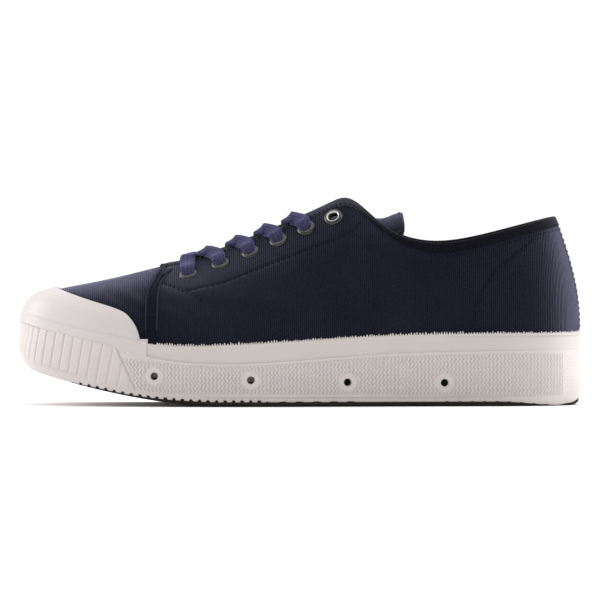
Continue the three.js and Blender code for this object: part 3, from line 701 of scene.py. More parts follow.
def rubber(name, base, aged, rough=0.5, zigzag=False, streaks=False):
    """Moulded rubber: a little cloudiness, dust low down and fine pitting, with zigzag lines darkened by
    painted shade in their trenches, or long fine streaks on the pieces that have them."""
    f = Finish(name, rough, Specular_IOR_Level=0.35)
    wear = f.use(WEAR, Mottle_Scale=30.0, Speck_Scale=1400.0)
    clouded = f.blend(math_node(f.tree, "MULTIPLY", wear["Mottle"], 0.6), base, aged)
    dust_and_shade = f.blend(math_node(f.tree, "MULTIPLY", wear["Dust"], 0.35), clouded, (0.36, 0.33, 0.31))
    pitted = f.bump(wear["Speck"], 0.00006)
    if zigzag:
        tread = f.use(ZIGZAG, Vector=f.uv())
        # Painted shade: the zigzag trenches are darkened in colour.
        line = math_node(f.tree, "MULTIPLY", tread["Line"], f.mask("zigzag"))
        dust_and_shade = f.blend(math_node(f.tree, "MULTIPLY", line, 0.22), dust_and_shade, (0.3, 0.27, 0.26))
        f.bump(math_node(f.tree, "SUBTRACT", 1.0, line), 0.00035, before=pitted)
    if streaks:
        long_grain = noise(f.tree, scaled(f.tree, f.uv(), (25.0, 1100.0, 1.0)), 3.0)
        streak = math_node(f.tree, "MULTIPLY", ramp(f.tree, long_grain, 0.55, 0.75), 0.16)
        dust_and_shade = f.blend(streak, dust_and_shade, (0.4, 0.35, 0.33))
        f.bump(long_grain, 0.00006, before=pitted)
    f.colour(dust_and_shade)
    return f


canvas_cloth = cloth("canvas_navy", (0.0075, 0.0085, 0.0165), (0.03, 0.031, 0.054), 1.02, 0.9, 0.00034,
                     sheen=0.85, tint=(0.6, 0.58, 0.85))
tape_cloth = cloth("tape_black_navy", (0.006, 0.006, 0.011), (0.013, 0.013, 0.02), 0.7, 0.5, 0.00018,
                   sheen=0.3, tint=(0.6, 0.6, 0.7))
# Painted light: the tape is lighter along the throat and its peak, where light falls on it.
tape_cloth.recolour("throat", (0.04, 0.04, 0.056))
band_cloth = cloth("band_navy", (0.007, 0.0075, 0.016), (0.018, 0.018, 0.036), 0.8, 0.55, 0.0002,
                   sheen=0.35, tint=(0.45, 0.42, 0.75))
# Painted highlight: a lighter navy for the thin threads along the front bands' folded edges.
edge_highlight_cloth = cloth("edge_highlight_navy", (0.03, 0.03, 0.055), (0.07, 0.07, 0.115), 0.6, 0.5, 0.0001,
                   sheen=0.5, tint=(0.5, 0.5, 0.8))
lining_cloth = cloth("lining_drill", (0.44, 0.4, 0.32), (0.62, 0.57, 0.48), 0.8, 0.6, 0.0002)
# Painted shade: dark navy on the lining near the throat, so the eyelet holes and the throat look dark inside.
lining_cloth.recolour("lining_shade", (0.008, 0.009, 0.02))
lace_cloth = cloth("lace_cotton", (0.034, 0.031, 0.072), (0.086, 0.078, 0.16), 0.9, 1.3, 0.00022, sheen=0.5,
                   tint=(0.5, 0.46, 0.9), gap_shade=0.5)
insole_cloth = cloth("insole_cloth", (0.5, 0.46, 0.38), (0.66, 0.61, 0.52), 0.9, 0.9, 0.0002)
sole_rubber = rubber("rubber_sole", (0.66, 0.6, 0.585), (0.6, 0.54, 0.525), 0.5, zigzag=True)
cap_rubber = rubber("rubber_cap", (0.62, 0.575, 0.565), (0.57, 0.525, 0.512), 0.45)
fox_rubber = rubber("rubber_foxing", (0.62, 0.572, 0.545), (0.56, 0.512, 0.484), 0.48, streaks=True)

thread_dark = mottled("thread_dark", 0.8, 900.0, (0.003, 0.003, 0.007), (0.012, 0.012, 0.022))
# Painted shade: near-black rubber for the recess under the sole's white wall and the inside of the vents.
shade_rubber = mottled("rubber_painted_shade", 0.7, 400.0, (0.012, 0.009, 0.008), (0.04, 0.034, 0.03))

gunmetal = Finish("gunmetal", 0.3, Metallic=1.0)
metal_wear = gunmetal.use(WEAR, Mottle_Scale=300.0, Speck_Scale=2500.0)
gunmetal.colour(gunmetal.blend(metal_wear["Mottle"], (0.035, 0.035, 0.033), (0.1, 0.098, 0.093)))
# Painted highlight: bright metal on the eyelets' inner rims.
gunmetal.recolour("rim_highlight", (0.62, 0.61, 0.58))
uneven = ramp(gunmetal.tree, metal_wear["Mottle"], -0.5, 1.9)
gunmetal.tree.links.new(uneven, gunmetal.shader.inputs["Roughness"])
gunmetal.bump(metal_wear["Speck"], 0.00002)


# ---------------------------------------------------------------- sole

def even_feet(start, end, spacing):
    """Places on the outline an even distance apart, and how far each is from the first."""
    dense = np.linspace(start, end, 6000)
    walked = way(np.stack(outline(dense)[:2], -1))
    distance = np.linspace(0, walked[-1], int(walked[-1] / spacing))
    return np.interp(distance, walked, dense), distance


def notch(x):
    """1 in the cross grooves of the tread, which come every NOTCH_PITCH from the toe to the waist, and
    in wider, shallower ones under the waist and the heel."""
    near = np.abs(np.mod(x + 0.3, NOTCH_PITCH) - NOTCH_PITCH / 2)
    fine = smooth((0.95 - near) / 0.3) * smooth((x - 26) / 8) * smooth((130 - x) / 3)
    near_wide, near_heel = np.abs(np.mod(x, 8.8) - 4.4), np.abs(np.mod(x, 6.4) - 3.2)
    wide = smooth((2.2 - near_wide) / 0.6) * smooth((x - 134) / 3) * smooth((176 - x) / 4) * 0.35
    heel = smooth((0.9 - near_heel) / 0.3) * smooth((x - 214) / 4) * smooth((276 - x) / 3) * 0.25
    return fine + wide + heel


def lip(x):
    """How far the white wall's lower edge is above the underside: hardly any at the toe, most in the
    middle and little at the heel, as a sum of soft steps."""
    return 0.12 + 0.75 * smooth((x - 20) / 26) + 1.55 * smooth((x - 50) / 55) - 2.15 * smooth((x - 246) / 36)


def under(x):
    """Height of the sole's lower edge, turned up in a round corner at the toe and at the heel."""
    return spring(x) + 5.0 * np.clip(1 - x / 12, 0, 1) ** 2 + 2.4 * np.clip(1 - (LENGTH - x) / 5, 0, 1) ** 2


def arch(x):
    """Height of the sole's underside, hollow under the waist."""
    return under(x) + ARCH_LIFT * smooth((x - 160) / 15) * smooth((210 - x) / 15)


def sole_wall():
    """The sole's outline carried up its wall. The wall sinks by a relief that leaves ribs round the
    toe, a panel for the zigzag lines behind them, and a disc round each vent."""
    feet, walked = even_feet(0, 2 * ROWS, 0.46)
    feet, walked = feet[:-1], walked[:-1]
    total = walked[-1] + walked[1]
    x, y, ox, oy = outline(feet)
    from_toe = np.minimum(walked, total - walked)
    top = wall_top(feet) - GAP
    low = np.array([(2.2, 0.5), (1.5, 0.1), (1.05, 0.0), (0.72, 0.15), (0.42, 0.7), (0.2, 1.5), (0.06, 2.4)])
    climb = np.linspace(0, 1, 47)
    inset = np.concatenate([low[None, :, 0].repeat(len(feet), 0), np.zeros((len(feet), 47))], 1)
    cut = notch(x)[:, None] * np.array([1.0, 1.0, 1.0, 0.95, 0.75, 0.4, 0.1])[None]
    x_low = x[:, None] - ox[:, None] * (low[None, :, 0] + 1.8 * smooth((24 - x) / 24)[:, None])
    z_low = under(x_low) + lip(x_low) + low[None, :, 1] + cut
    z_wall = mix((under(x) + 4.8)[:, None], (top - 0.5)[:, None], climb[None])
    z = np.concatenate([z_low, z_wall], 1)

    side_x = x[:, None]
    slant = SLANT_X + (SLANT_Z - z) * SLANT_LEAN
    left = smooth((slant - side_x) / 0.5 + 0.5)
    rib_low = np.interp(x, *RIB_FOOT)[:, None]
    in_ribs = left * smooth((z - rib_low) / 0.7 + 0.5)
    half = len(feet) // 2
    marks = np.interp(RIB_X, x[:half], from_toe[:half])
    marks = np.concatenate([[-0.5 * marks[0], 0.5 * marks[0]], marks, [marks[-1] + 90]])
    leaning = from_toe[:, None] + (RIB_LEAN_TOP - z) * RIB_LEAN * smooth(from_toe / 14)[:, None]
    rib = np.interp(leaning, marks, np.append(np.arange(len(marks) - 1), len(marks) + 12))
    groove = np.abs(np.mod(rib + 0.5, 1) - 0.5) * 5.4
    raised = in_ribs * (1 - 0.8 * bell(groove, 0.36) - 0.3 * np.mod(rib, 1))
    panel_low = np.interp(x, *PANEL_FOOT)[:, None]
    ends = smooth((side_x - slant - 1.2) / 0.5) * smooth((281 - side_x) / 1.0)
    panel_high = np.minimum(top - 1.6, np.interp(x, *PANEL_HEAD))[:, None]
    panel = ends * smooth((z - panel_low) / 0.5 + 0.5) * smooth((panel_high - z) / 0.5 + 0.5)
    relief = np.where(left > 0.5, RIB_DEPTH, 0.0) * (1 - raised) + (1 - left) * (0.4 - 0.3 * panel)
    slant_line = 2.0 * bell(side_x - slant, 0.5) * smooth((z - 8.0) / 0.8)
    slant_line = slant_line * smooth((top[:, None] - 0.4 - z) / 0.5)
    relief = relief + 0.45 * slant_line * (side_x < 70)
    relief += 0.3 * bell(z - (top[:, None] - 1.3), 0.35) * (1 - left)
    hatch = smooth((side_x - 281.4) / 0.4) * smooth((285.6 - side_x) / 0.6)
    hatch = hatch * smooth(z - 7) * smooth(top[:, None] - 3 - z)
    relief += 0.16 * (0.5 + 0.5 * np.cos(2 * np.pi * z / 1.8)) * hatch
    keep = np.ones((len(feet), z.shape[1] - 1 + 3), bool)
    zig = panel.copy()
    for vx, vz in VENTS:
        for on_side in (feet <= ROWS, feet > ROWS):
            r = np.where(on_side[:, None], np.hypot(side_x - vx, z - vz), 99.0)
            disc = smooth((VENT_DISC - r) / 0.3)
            relief = relief * (1 - disc) + 0.12 * disc + 0.35 * bell(r - VENT_DISC - 0.05, 0.3)
            zig *= 1 - smooth((VENT_DISC + 0.5 - r) / 0.3)
            after = np.roll(r, -1, 0)
            middle = (r[:, :-1] + r[:, 1:] + after[:, :-1] + after[:, 1:]) / 4
            keep[:, : z.shape[1] - 1] &= middle > VENT_CLEAR
    fade = smooth((z - under(x)[:, None] - 2.4) / 2.0)
    above = z - under(x)[:, None]
    heel_corner = smooth((side_x - 272) / 16) * 1.6 * np.clip(1 - (above - 0.6) / 5.0, 0, 1) ** 2
    toe_round = 1.8 * np.clip(1 - above / 4.0, 0, 1) ** 2 + 1.3 * smooth((z - 26) / 17)
    toe_corner = smooth((24 - side_x) / 24) * toe_round
    inset = inset + relief * fade + heel_corner + toe_corner
    face = inside(x, y, ox, oy, inset, z)
    inset_top = inset[:, -1:]
    rim = [inside(x, y, ox, oy, i, (top + rise)[:, None])
           for i, rise in ((inset_top + 0.15, -0.2), (inset_top + 0.5, 0.0), (4.2, 0.0))]
    points = np.concatenate([face, *rim], 1)
    u = np.concatenate([walked, [total]])
    height = np.concatenate([points[..., 2], points[:1, :, 2]], 0)
    uv = np.stack([u[:, None].repeat(points.shape[1], 1), height], -1)
    zig = np.concatenate([zig, np.zeros((len(feet), 3))], 1)
    return grid_piece("sole_wall", points, sole_rubber.material, uv, closed=True, keep=keep,
                      replaced=("outsole",), values={"zigzag": zig})


def foot_shade_line():
    """A dark strip of painted shade under the white wall, where the tread's edge is recessed: down behind
    the wall's lower edge, round its corner and in under the sole."""
    feet, walked = even_feet(0, 2 * ROWS, 0.8)
    feet, walked = feet[:-1], walked[:-1]
    x, y, ox, oy = outline(feet)
    rows = [(1.35, 4.6), (1.35, 2.0), (1.6, 1.1), (2.1, 0.45), (2.8, 0.12), (3.6, 0.0), (5.5, 0.0),
            (7.6, 0.0)]
    scale = lip(x) / 2.2
    toe = 2.6 * smooth((26 - x) / 24)
    hidden = 0.5 * smooth((30 - x) / 10) + 0.25 * smooth((x - 262) / 14)
    rings = []
    for i, h in rows:
        ring_x = x - ox * (i + toe)
        rise = h * (scale if h < 3 else 1) + (arch(x) - under(x)) * smooth((i - 5) / 2)
        rings.append(np.stack([ring_x, y - oy * (i + toe), under(ring_x) + hidden + rise], -1))
    points = np.stack(rings, 1)
    u = np.concatenate([walked, [walked[-1] + 0.8]])[:, None] + np.zeros((1, len(rows)))
    uv = np.stack([u, 0 * u + np.arange(len(rows))[None]], -1)
    return grid_piece("foot_shade_line", points, shade_rubber.material, uv, closed=True, flip=True)


def sole_tread():
    """The underside: rows across the sole, cut by the cross grooves, with a plain rim."""
    x = np.linspace(6.5, 284.5, 740)
    foot = np.arccos(1 - 2 * x / LENGTH) * ROWS / np.pi
    outer, inner = outline(foot, 0)[1], outline(2 * ROWS - foot, 0)[1]
    share = np.linspace(0, 1, 40)
    margin = 7.0
    low, high = outer + margin, inner - margin
    low, high = np.minimum(low, (low + high) / 2), np.maximum(high, (low + high) / 2)
    y = mix(low[:, None], high[:, None], share[None])
    z = (arch(x) + 1.1 * notch(x))[:, None] + 0 * y
    points = np.stack([x[:, None] + 0 * y, y, z], -1)
    uv = np.stack([points[..., 0], points[..., 1]], -1)
    zig = 0.8 * smooth((share - 0.06) / 0.03)[None] * smooth((0.94 - share) / 0.03)[None] * np.ones_like(y)
    return grid_piece("sole_tread", points, sole_rubber.material, uv, flip=True,
                      values={"zigzag": zig})


def turned(name, profile, seats, material, replaced=(), sides=32, values=None):
    """A profile of (radius, height) spun about each seat's direction. seats holds (place, direction),
    and values one number for each profile point."""
    turn = np.linspace(0, 2 * np.pi, sides, endpoint=False)
    r, h = np.array(profile, float).T
    verts, faces = [], []
    for k, (place, direction) in enumerate(seats):
        direction = unit(np.array(direction, float))
        first = unit(np.cross(direction, [0.3, 0.1, 1.0]))
        second = np.cross(direction, first)
        ring = (place + direction * h[None, :, None] + r[None, :, None] * (
            first * np.cos(turn)[:, None, None] + second * np.sin(turn)[:, None, None]))
        verts.append(ring.reshape(-1, 3))
        faces.append(grid_faces(sides, len(r), closed=True) + k * sides * len(r))
    spread = {key: np.tile(value, sides * len(seats)) for key, value in (values or {}).items()}
    return mesh_piece(name, np.concatenate(verts), np.concatenate(faces), material, replaced=replaced,
                      values=spread)


def vent_seats():
    """Where the vents are, with the outward direction there."""
    seats = []
    for vx, vz in VENTS:
        foot = math.acos(1 - 2 * vx / LENGTH) * ROWS / math.pi
        for place in (foot, 2 * ROWS - foot):
            x, y, ox, oy = outline(np.array(place), 0.1)
            seats.append((np.array([float(x), float(y), vz]), (float(ox), float(oy), 0.0)))
    return seats


def foxing_band():
    """The thin band above the sole wall: up its face, round its edge and in to the cloth, with both
    ends turned in where the toe cap begins."""
    feet, walked = even_feet(CAP_END - 0.03, 2 * ROWS - CAP_END + 0.03, 0.8)
    x, y, ox, oy = outline(feet)
    fans = np.linspace(0, 2 * FANS, 1500)
    cloth_top = skin_points(fans, share_at_height(fans, foxing_top(foot_of(fans))))
    ring = outline(foot_of(fans))
    cloth_inset = (ring[0] - cloth_top[:, 0]) * ring[2] + (ring[1] - cloth_top[:, 1]) * ring[3]
    face_inset = np.minimum(FOXING_INSET + 0.25, np.interp(feet, foot_of(fans), cloth_inset) - 0.75)[:, None]
    low, high = wall_top(feet) - 0.6, foxing_top(feet)
    t = np.linspace(0, 1, 12)
    z = mix(low[:, None], (high - 0.5)[:, None], t[None])
    step = 0.3 * smooth((84 - x) / 1.2)[:, None] * smooth((z - (foxing_top(feet) - 5.0)[:, None]) / 0.4)
    seam = 0.25 * bell(z - (foxing_top(feet) - 4.6)[:, None], 0.35) * smooth((88 - x) / 6)[:, None]
    face = mix(np.maximum(face_inset, 0.6), face_inset, smooth(t)[None])
    inset = face - step + seam + 0.05 * np.sin(walked / 31)[:, None]
    rows = [inside(x, y, ox, oy, inset, z)]
    for more, dz in ((0.12, -0.2), (0.4, 0.0), (0.9, 0.1), (2.6, 0.1)):
        rows.append(inside(x, y, ox, oy, inset[:, -1:] + more, (high + dz)[:, None]))
    points = np.concatenate(rows, 1)
    turned_in = np.array([3.0, 1.2, 0.4, 0.0])
    for end, order in ((0, turned_in), (-1, turned_in[::-1])):
        inwards = np.array([ox[end], oy[end], 0])
        extra = np.stack([points[end] - inwards * d for d in order[order > 0]])
        points = np.concatenate([extra, points] if end == 0 else [points, extra], 0)
    along_band = np.concatenate([[0] * 3, walked, [walked[-1]] * 3])
    uv = np.stack([along_band[:, None] + 0 * points[..., 0], points[..., 2]], -1)
    return grid_piece("foxing_band", points, fox_rubber.material, uv, replaced=("foxing",))


def bond_line():
    """Rubber cement squeezed out above the foxing: a thin skirt on the cloth whose upper edge is cut
    into uneven teeth about a millimetre wide."""
    fans = np.linspace(0, 2 * FANS, 9000)
    line = on_skin(fans, share_at_height(fans, foxing_top(foot_of(fans))))
    walked = way(line)
    start = np.interp(CAP_END, foot_of(fans[: len(fans) // 2]), np.arange(len(fans) // 2))
    first = walked[int(start)]
    s = np.arange(first + 0.4, walked[-1] - first - 0.4, 0.22)
    fan = np.interp(s, walked, fans)
    knots = s[0] + np.cumsum(np.random.uniform(0.4, 0.95, 2400))
    peaks = np.repeat(np.random.uniform(0.6, 1.7, 1200), 2)
    on_and_off = smooth((np.interp(s, knots, np.arange(2400) % 2) - 0.5) / 0.5 + 0.5)
    tooth = 0.15 + np.interp(s, knots, peaks) * on_and_off * (0.85 + 0.15 * np.sin(s / 17))
    top = foxing_top(foot_of(fan))
    heights = np.stack([top - 0.8, top + 0.1, top + 0.1 + 0.5 * tooth, top + 0.1 + tooth,
                        top + 0.15 + tooth], 1)
    lifts = np.array([0.7, 0.7, 0.62, 0.5, -0.2])[None] + 0.45 * quarter_mask(fan, heights)
    points = on_skin(fan[:, None], share_at_height(fan[:, None] + 0 * heights, heights), lifts)
    return grid_piece("bond_line", points, fox_rubber.material)


def cap_edge_share(fan):
    """v at which each section meets the toe cap's rear edge."""
    line = along(CAP_EDGE, 300)
    v = np.linspace(0.08, 1, 500)
    points = skin_points(fan[:, None], v[None])
    above = points[..., 2] - np.interp(points[..., 0], line[:, 0], line[:, 1])
    hit = np.argmax(above > 0, axis=1)
    hit = np.where((above > 0).any(1), np.maximum(hit, 1), len(v) - 1)
    rows = np.arange(len(fan))
    a, b = above[rows, hit - 1], above[rows, hit]
    t = np.clip(-a / np.where(np.abs(b - a) < 1e-6, 1, b - a), 0, 1)
    return mix(v[hit - 1], v[hit], t)


def toe_cap():
    """The upper's own face lifted by the cap's thickness, rolled down to the cloth at its rear edge.
    A groove parts the smooth bead over the ribs from the cap above it."""
    end = np.interp(CAP_END, foot_of(np.linspace(0, 6, 900)), np.linspace(0, 6, 900))
    from_middle = np.linspace(0, end - 0.012, 230)
    fan = np.mod(np.concatenate([-from_middle[::-1], from_middle[1:]]), 2 * FANS)
    wall = wall_top(foot_of(fan))
    low = share_at_height(fan, wall - 0.6)
    high = np.maximum(cap_edge_share(fan), share_at_height(fan, wall + 5))
    t = np.concatenate([np.linspace(0, 0.985, 74), [0.992, 0.997, 1.0, 1.0, 1.0]])
    lift = np.concatenate([CAP_THICKNESS * (1 - 0.4 * smooth((t[:-4] - 0.55) / 0.45)), [0, 0, 0, 0]])
    lift[-5:] = [1.1, 1.0, 0.8, 0.4, -0.4]
    lift[-6] = 1.14
    v = mix(low[:, None], high[:, None], t[None])
    base = skin_points(fan[:, None], v)
    bead = np.interp(base[..., 0], *np.array(CAP_BEAD).T)
    groove = 0.35 * bell(base[..., 2] - bead, 0.45) - 0.12 * smooth((bead - base[..., 2]) / 0.8)
    wobble = 0.06 * np.sin(base[..., 0] / 6.3) * np.sin(base[..., 1] / 7.1 + 1)
    lifts = GAP + lift[None] - (groove + wobble) * (t < 0.96)[None]
    points = on_skin(fan[:, None], v, lifts)
    for end_row, order in ((0, [2.6, 0.5, 0.1]), (-1, [0.1, 0.5, 2.6])):
        normal = skin_normal(fan[end_row], v[end_row])
        most = lifts[end_row][:, None] + 0.4
        extra = np.stack([points[end_row] - normal * np.minimum(d, most) for d in order])
        points = np.concatenate([extra, points] if end_row == 0 else [points, extra], 0)
    uv = np.stack([points[..., 1], points[..., 2]], -1)
    return grid_piece("toe_cap_shell", points, cap_rubber.material, uv, replaced=("toe_cap",))


# ---------------------------------------------------------------- upper

def quarter_mask(fan, z=None, points=None):
    """1 on the quarters, 0 on the vamp, with a soft step just behind the front band's edge."""
    if points is None:
        points = skin_points(fan[:, None] + 0 * z, share_at_height(fan[:, None] + 0 * z, z))
    line = along(BAND_FRONT, 120)
    edge = np.interp(points[..., 2], line[:, 1], line[:, 0])
    return smooth((points[..., 0] - edge - 1.0) / 2.0)


def eyelet_seats():
    """Where the eyelets are: at given x, and set back from the throat's edge along the canvas."""
    rows = np.linspace(1.5, 10, 900)
    shares = share_below_edge(rows, EYELET_SETBACK)
    seats = []
    for k, ex in enumerate(EYELET_X):
        v = shares[:, k]
        x = skin_points(rows, v)[:, 0]
        row, share = np.interp(ex, x, rows), np.interp(ex, x, v)
        for side in (-1, 1):
            fan = row if side < 0 else 2 * FANS - row
            seats.append({"pair": k, "side": side, "fan": fan, "v": share, "place": on_skin(fan, share, 0.45),
                          "normal": skin_normal(np.array(fan), np.array(share))})
    return seats


EYELETS = eyelet_seats()


def cloth_uv(fan, points):
    """Cloth coordinates. Forward of the collar's dip the first is x, so that the cords stand upright;
    behind it, it is the way walked round the heel on a level slice, read from a table of slices. The
    second climbs each section."""
    anchor, levels = 225.0, np.linspace(14, 100, 30)
    fans = np.linspace(8, FANS, 400)
    slices = []
    for level in levels:
        ring = skin_points(fans, share_at_height(fans, np.full(400, level), 1.0))
        walked = way(ring[:, :2])
        slices.append(walked - np.interp(anchor, ring[:, 0], walked))
    row = np.where(fan > FANS, 2 * FANS - fan, fan)
    table = np.stack([np.interp(row, fans, walked) for walked in slices], 1)
    at = np.clip((points[..., 2] - levels[0]) / (levels[1] - levels[0]), 0, len(levels) - 1.001)
    k = at.astype(int)
    behind = anchor + mix(np.take_along_axis(table, k, 1), np.take_along_axis(table, k + 1, 1), at - k)
    return np.stack([np.where(points[..., 0] > anchor, behind, points[..., 0]), way(points)], -1)


def clear_of_eyelets(points, depth, radius):
    """Which faces of a ring of columns stay: those whose middle is further than a radius from every
    eyelet's place, taken at a depth into the wall."""
    pairs = points + np.roll(points, -1, 0)
    middle = pairs[:, :-1] / 4 + pairs[:, 1:] / 4
    keep = np.ones(middle.shape[:2], bool)
    for e in EYELETS:
        keep &= np.linalg.norm(middle - (e["place"] - e["normal"] * depth), axis=-1) > radius
    return keep


def upper_cloth():
    """The canvas: the upper's face with a step where the quarters lie on the vamp, shallow troughs
    along the seams, and slow swells and creases where the foot bends."""
    columns, rows = 744, 116
    fan = fans_round(columns)
    low = share_at_height(fan, wall_top(foot_of(fan)) + 0.8)
    t = np.linspace(0, 1, rows)
    v = mix(low[:, None], 1.0, t[None])
    base = skin_points(fan[:, None], v)
    x, y, z = base[..., 0], base[..., 1], base[..., 2]
    relief = 0.45 * quarter_mask(fan, points=base)
    relief -= 0.35 * bell(line_distance(x, z, [(a - 0.6, b) for a, b in BAND_FRONT]), 0.8)
    side = np.where(y < axis_y(x), -1.0, 1.0)
    for line, depth, width in ((EYESTAY_SEAM, 0.3, 0.8), (COUNTER_SEAM, 0.35, 0.8), (WAIST_SEAM, 0.22, 1.2)):
        relief -= depth * bell(line_distance(x, z, line), width)
    swell = (np.sin(x / 13.0 + side * 0.8 + z / 21) * np.sin(z / 10.5 + x / 37 + side)
             + 0.6 * np.sin(x / 7.1 - z / 9.3 + 2 * side) * np.sin(z / 17 + 1.3))
    free = smooth((z - 38) / 14) * smooth((1 - v) / 0.08) * smooth((x - 30) / 20)
    relief += 0.22 * swell * free
    for start, end, depth, width in CREASES:
        d = line_distance(x, z, [start, end])
        relief += free * (0.55 * depth * bell(d - 1.4 * width, width) - depth * bell(d, width))
    relief -= 1.1 * smooth((foxing_top(foot_of(fan))[:, None] + 0.2 - z) / 1.2)
    points = base + skin_normal(fan[:, None], v) * relief[..., None]
    wide_fan = np.concatenate([fan, [2 * FANS - 1e-6]])
    wide = np.concatenate([base, base[:1]], 0)
    uv = cloth_uv(wide_fan, wide)
    return grid_piece("upper_cloth", points, canvas_cloth.material, uv, closed=True,
                      keep=clear_of_eyelets(points, 0.0, 3.3), replaced=("upper",))


def upper_lining():
    """The drill lining, a wall's thickness inside the canvas, painted dark near the throat as shade."""
    columns, rows = 300, 60
    fan = fans_round(columns)
    v = np.linspace(0, 1, rows)[None] + 0 * fan[:, None]
    points = on_skin(fan[:, None], v, -CANVAS)
    wide_fan = np.concatenate([fan, [2 * FANS - 1e-6]])
    wide = np.concatenate([points, points[:1]], 0)
    # Painted shade: the lining above the eyestay seam, near the throat.
    above = np.interp(points[..., 0], *np.array(EYESTAY_SEAM).T) - 3
    near_throat = smooth((points[..., 2] - above) / 1.5) * (points[..., 0] < 182) * (points[..., 0] > 70)
    return grid_piece("upper_lining", points, lining_cloth.material, cloth_uv(wide_fan, wide),
                      closed=True, keep=clear_of_eyelets(points, CANVAS, 3.0), values={"lining_shade": near_throat},
                      flip=True)


def binding_tape():
    """Tape folded over the whole open edge: a section that climbs the outside, turns over the edge and
    goes down the inside, carried round the topline."""
    columns = 900
    fan = fans_round(columns)
    profile = np.array([(5.0, 0.1), (4.95, 0.62), (4.6, 0.86), (3.4, 0.92), (2.0, 0.9), (0.7, 0.86),
                        (0.0, 0.7), (-0.5, 0.2), (-0.7, -0.6), (-0.6, -1.5), (-0.2, -2.1), (0.8, -2.5),
                        (2.4, -2.55), (4.2, -2.5), (4.8, -2.3), (5.0, -1.6)])
    depth = np.maximum(profile[:, 0], 0)
    v = share_below_edge(fan, depth)
    over = np.minimum(profile[:, 0], 0)
    points = on_skin(fan[:, None], v, profile[None, :, 1])
    climb = unit(skin_points(fan, np.ones(columns)) - skin_points(fan, np.full(columns, 0.98)))
    points = points - climb[:, None] * over[None, :, None]
    edge = skin_points(fan, np.ones(columns))
    ring = np.concatenate([edge, edge[:1]], 0)
    walked = way(ring)
    down = way(profile)
    uv = np.stack(np.broadcast_arrays(walked[:, None], down[None]), -1)
    # Where the tape gets its painted light, along the throat and its peak.
    throat = smooth((186 - points[..., 0]) / 16) * smooth((points[..., 2] - 60) / 6)
    return grid_piece("binding_tape", points, tape_cloth.material, uv, closed=True,
                      values={"throat": throat})


def laid_band(name, front, back, side, material, base_lift, edge=0.55):
    """A folded strip laid on the upper between two drawn lines, even in thickness and rounded at both
    edges. It sinks into the cloth where it nears the throat."""
    count = 150
    fa, va = seat(along(front, count), side)
    fb, vb = seat(along(back, count), side)
    share = np.array([0.0, 0.0, 0.04, 0.12, 0.3, 0.5, 0.7, 0.88, 0.96, 1.0, 1.0])
    lift = np.array([-0.2, 0.6, 0.92, 1.0, 0.96, 0.93, 0.95, 0.98, 0.9, 0.6, -0.2]) * edge + base_lift
    fan, v = mix(fa[:, None], fb[:, None], share[None]), mix(va[:, None], vb[:, None], share[None])
    height = skin_points(fan, v)[..., 2]
    points = on_skin(fan, v, lift[None] - 0.75 * smooth((height - 66.5) / 4))
    uv = np.stack([share[None] * 5.5 + 0 * fan, np.linspace(0, 48, count)[:, None] + 0 * fan], -1)
    return grid_piece(name, points, material, uv, flip=side < 0)


def edge_highlight_thread(name, line, side, lift):
    """The folded edge of a band: a fine thread along a drawn line, in a lighter cloth that
    paints the highlight along the edge.
    """
    fan, v = seat(along(line, 200), side)
    path, up = on_skin(fan, v, lift), skin_normal(fan, v)
    turn = np.linspace(0, 2 * np.pi, 9)
    size = np.full(len(path), 0.34)
    points = swept(path, up, np.stack([np.cos(turn), np.sin(turn)], -1)[::-1], size, size)
    around, length = np.linspace(0, 2, 9)[None], np.linspace(0, 48, len(points))[:, None]
    uv = np.stack(np.broadcast_arrays(around, length), -1)
    return grid_piece(name, points, edge_highlight_cloth.material, uv)


def heel_strip():
    """The narrow backstay up the middle of the heel, of even width, rounded at its edges."""
    rows = 120
    v0 = float(share_at_height(np.array([float(FANS)]), np.array([34.0]))[0])
    v = np.linspace(v0, 0.985, rows)
    step = 0.05
    apart = skin_points(np.full(rows, FANS + step), v) - skin_points(np.full(rows, FANS - step), v)
    spread = np.linalg.norm(apart, axis=1) / (2 * step)
    across = np.array([-5.6, -5.6, -5.3, -4.6, -2.5, 0, 2.5, 4.6, 5.3, 5.6, 5.6])
    lift = np.array([-0.1, 0.35, 0.55, 0.62, 0.6, 0.6, 0.6, 0.62, 0.55, 0.35, -0.1])
    fan = FANS + across[:, None] / spread[None]
    points = on_skin(fan, v[None] + 0 * fan, lift[:, None])
    uv = np.stack([across[:, None] + 0 * fan, 75 * v[None] + 0 * fan], -1)
    return grid_piece("heel_strip", points, canvas_cloth.material, uv)


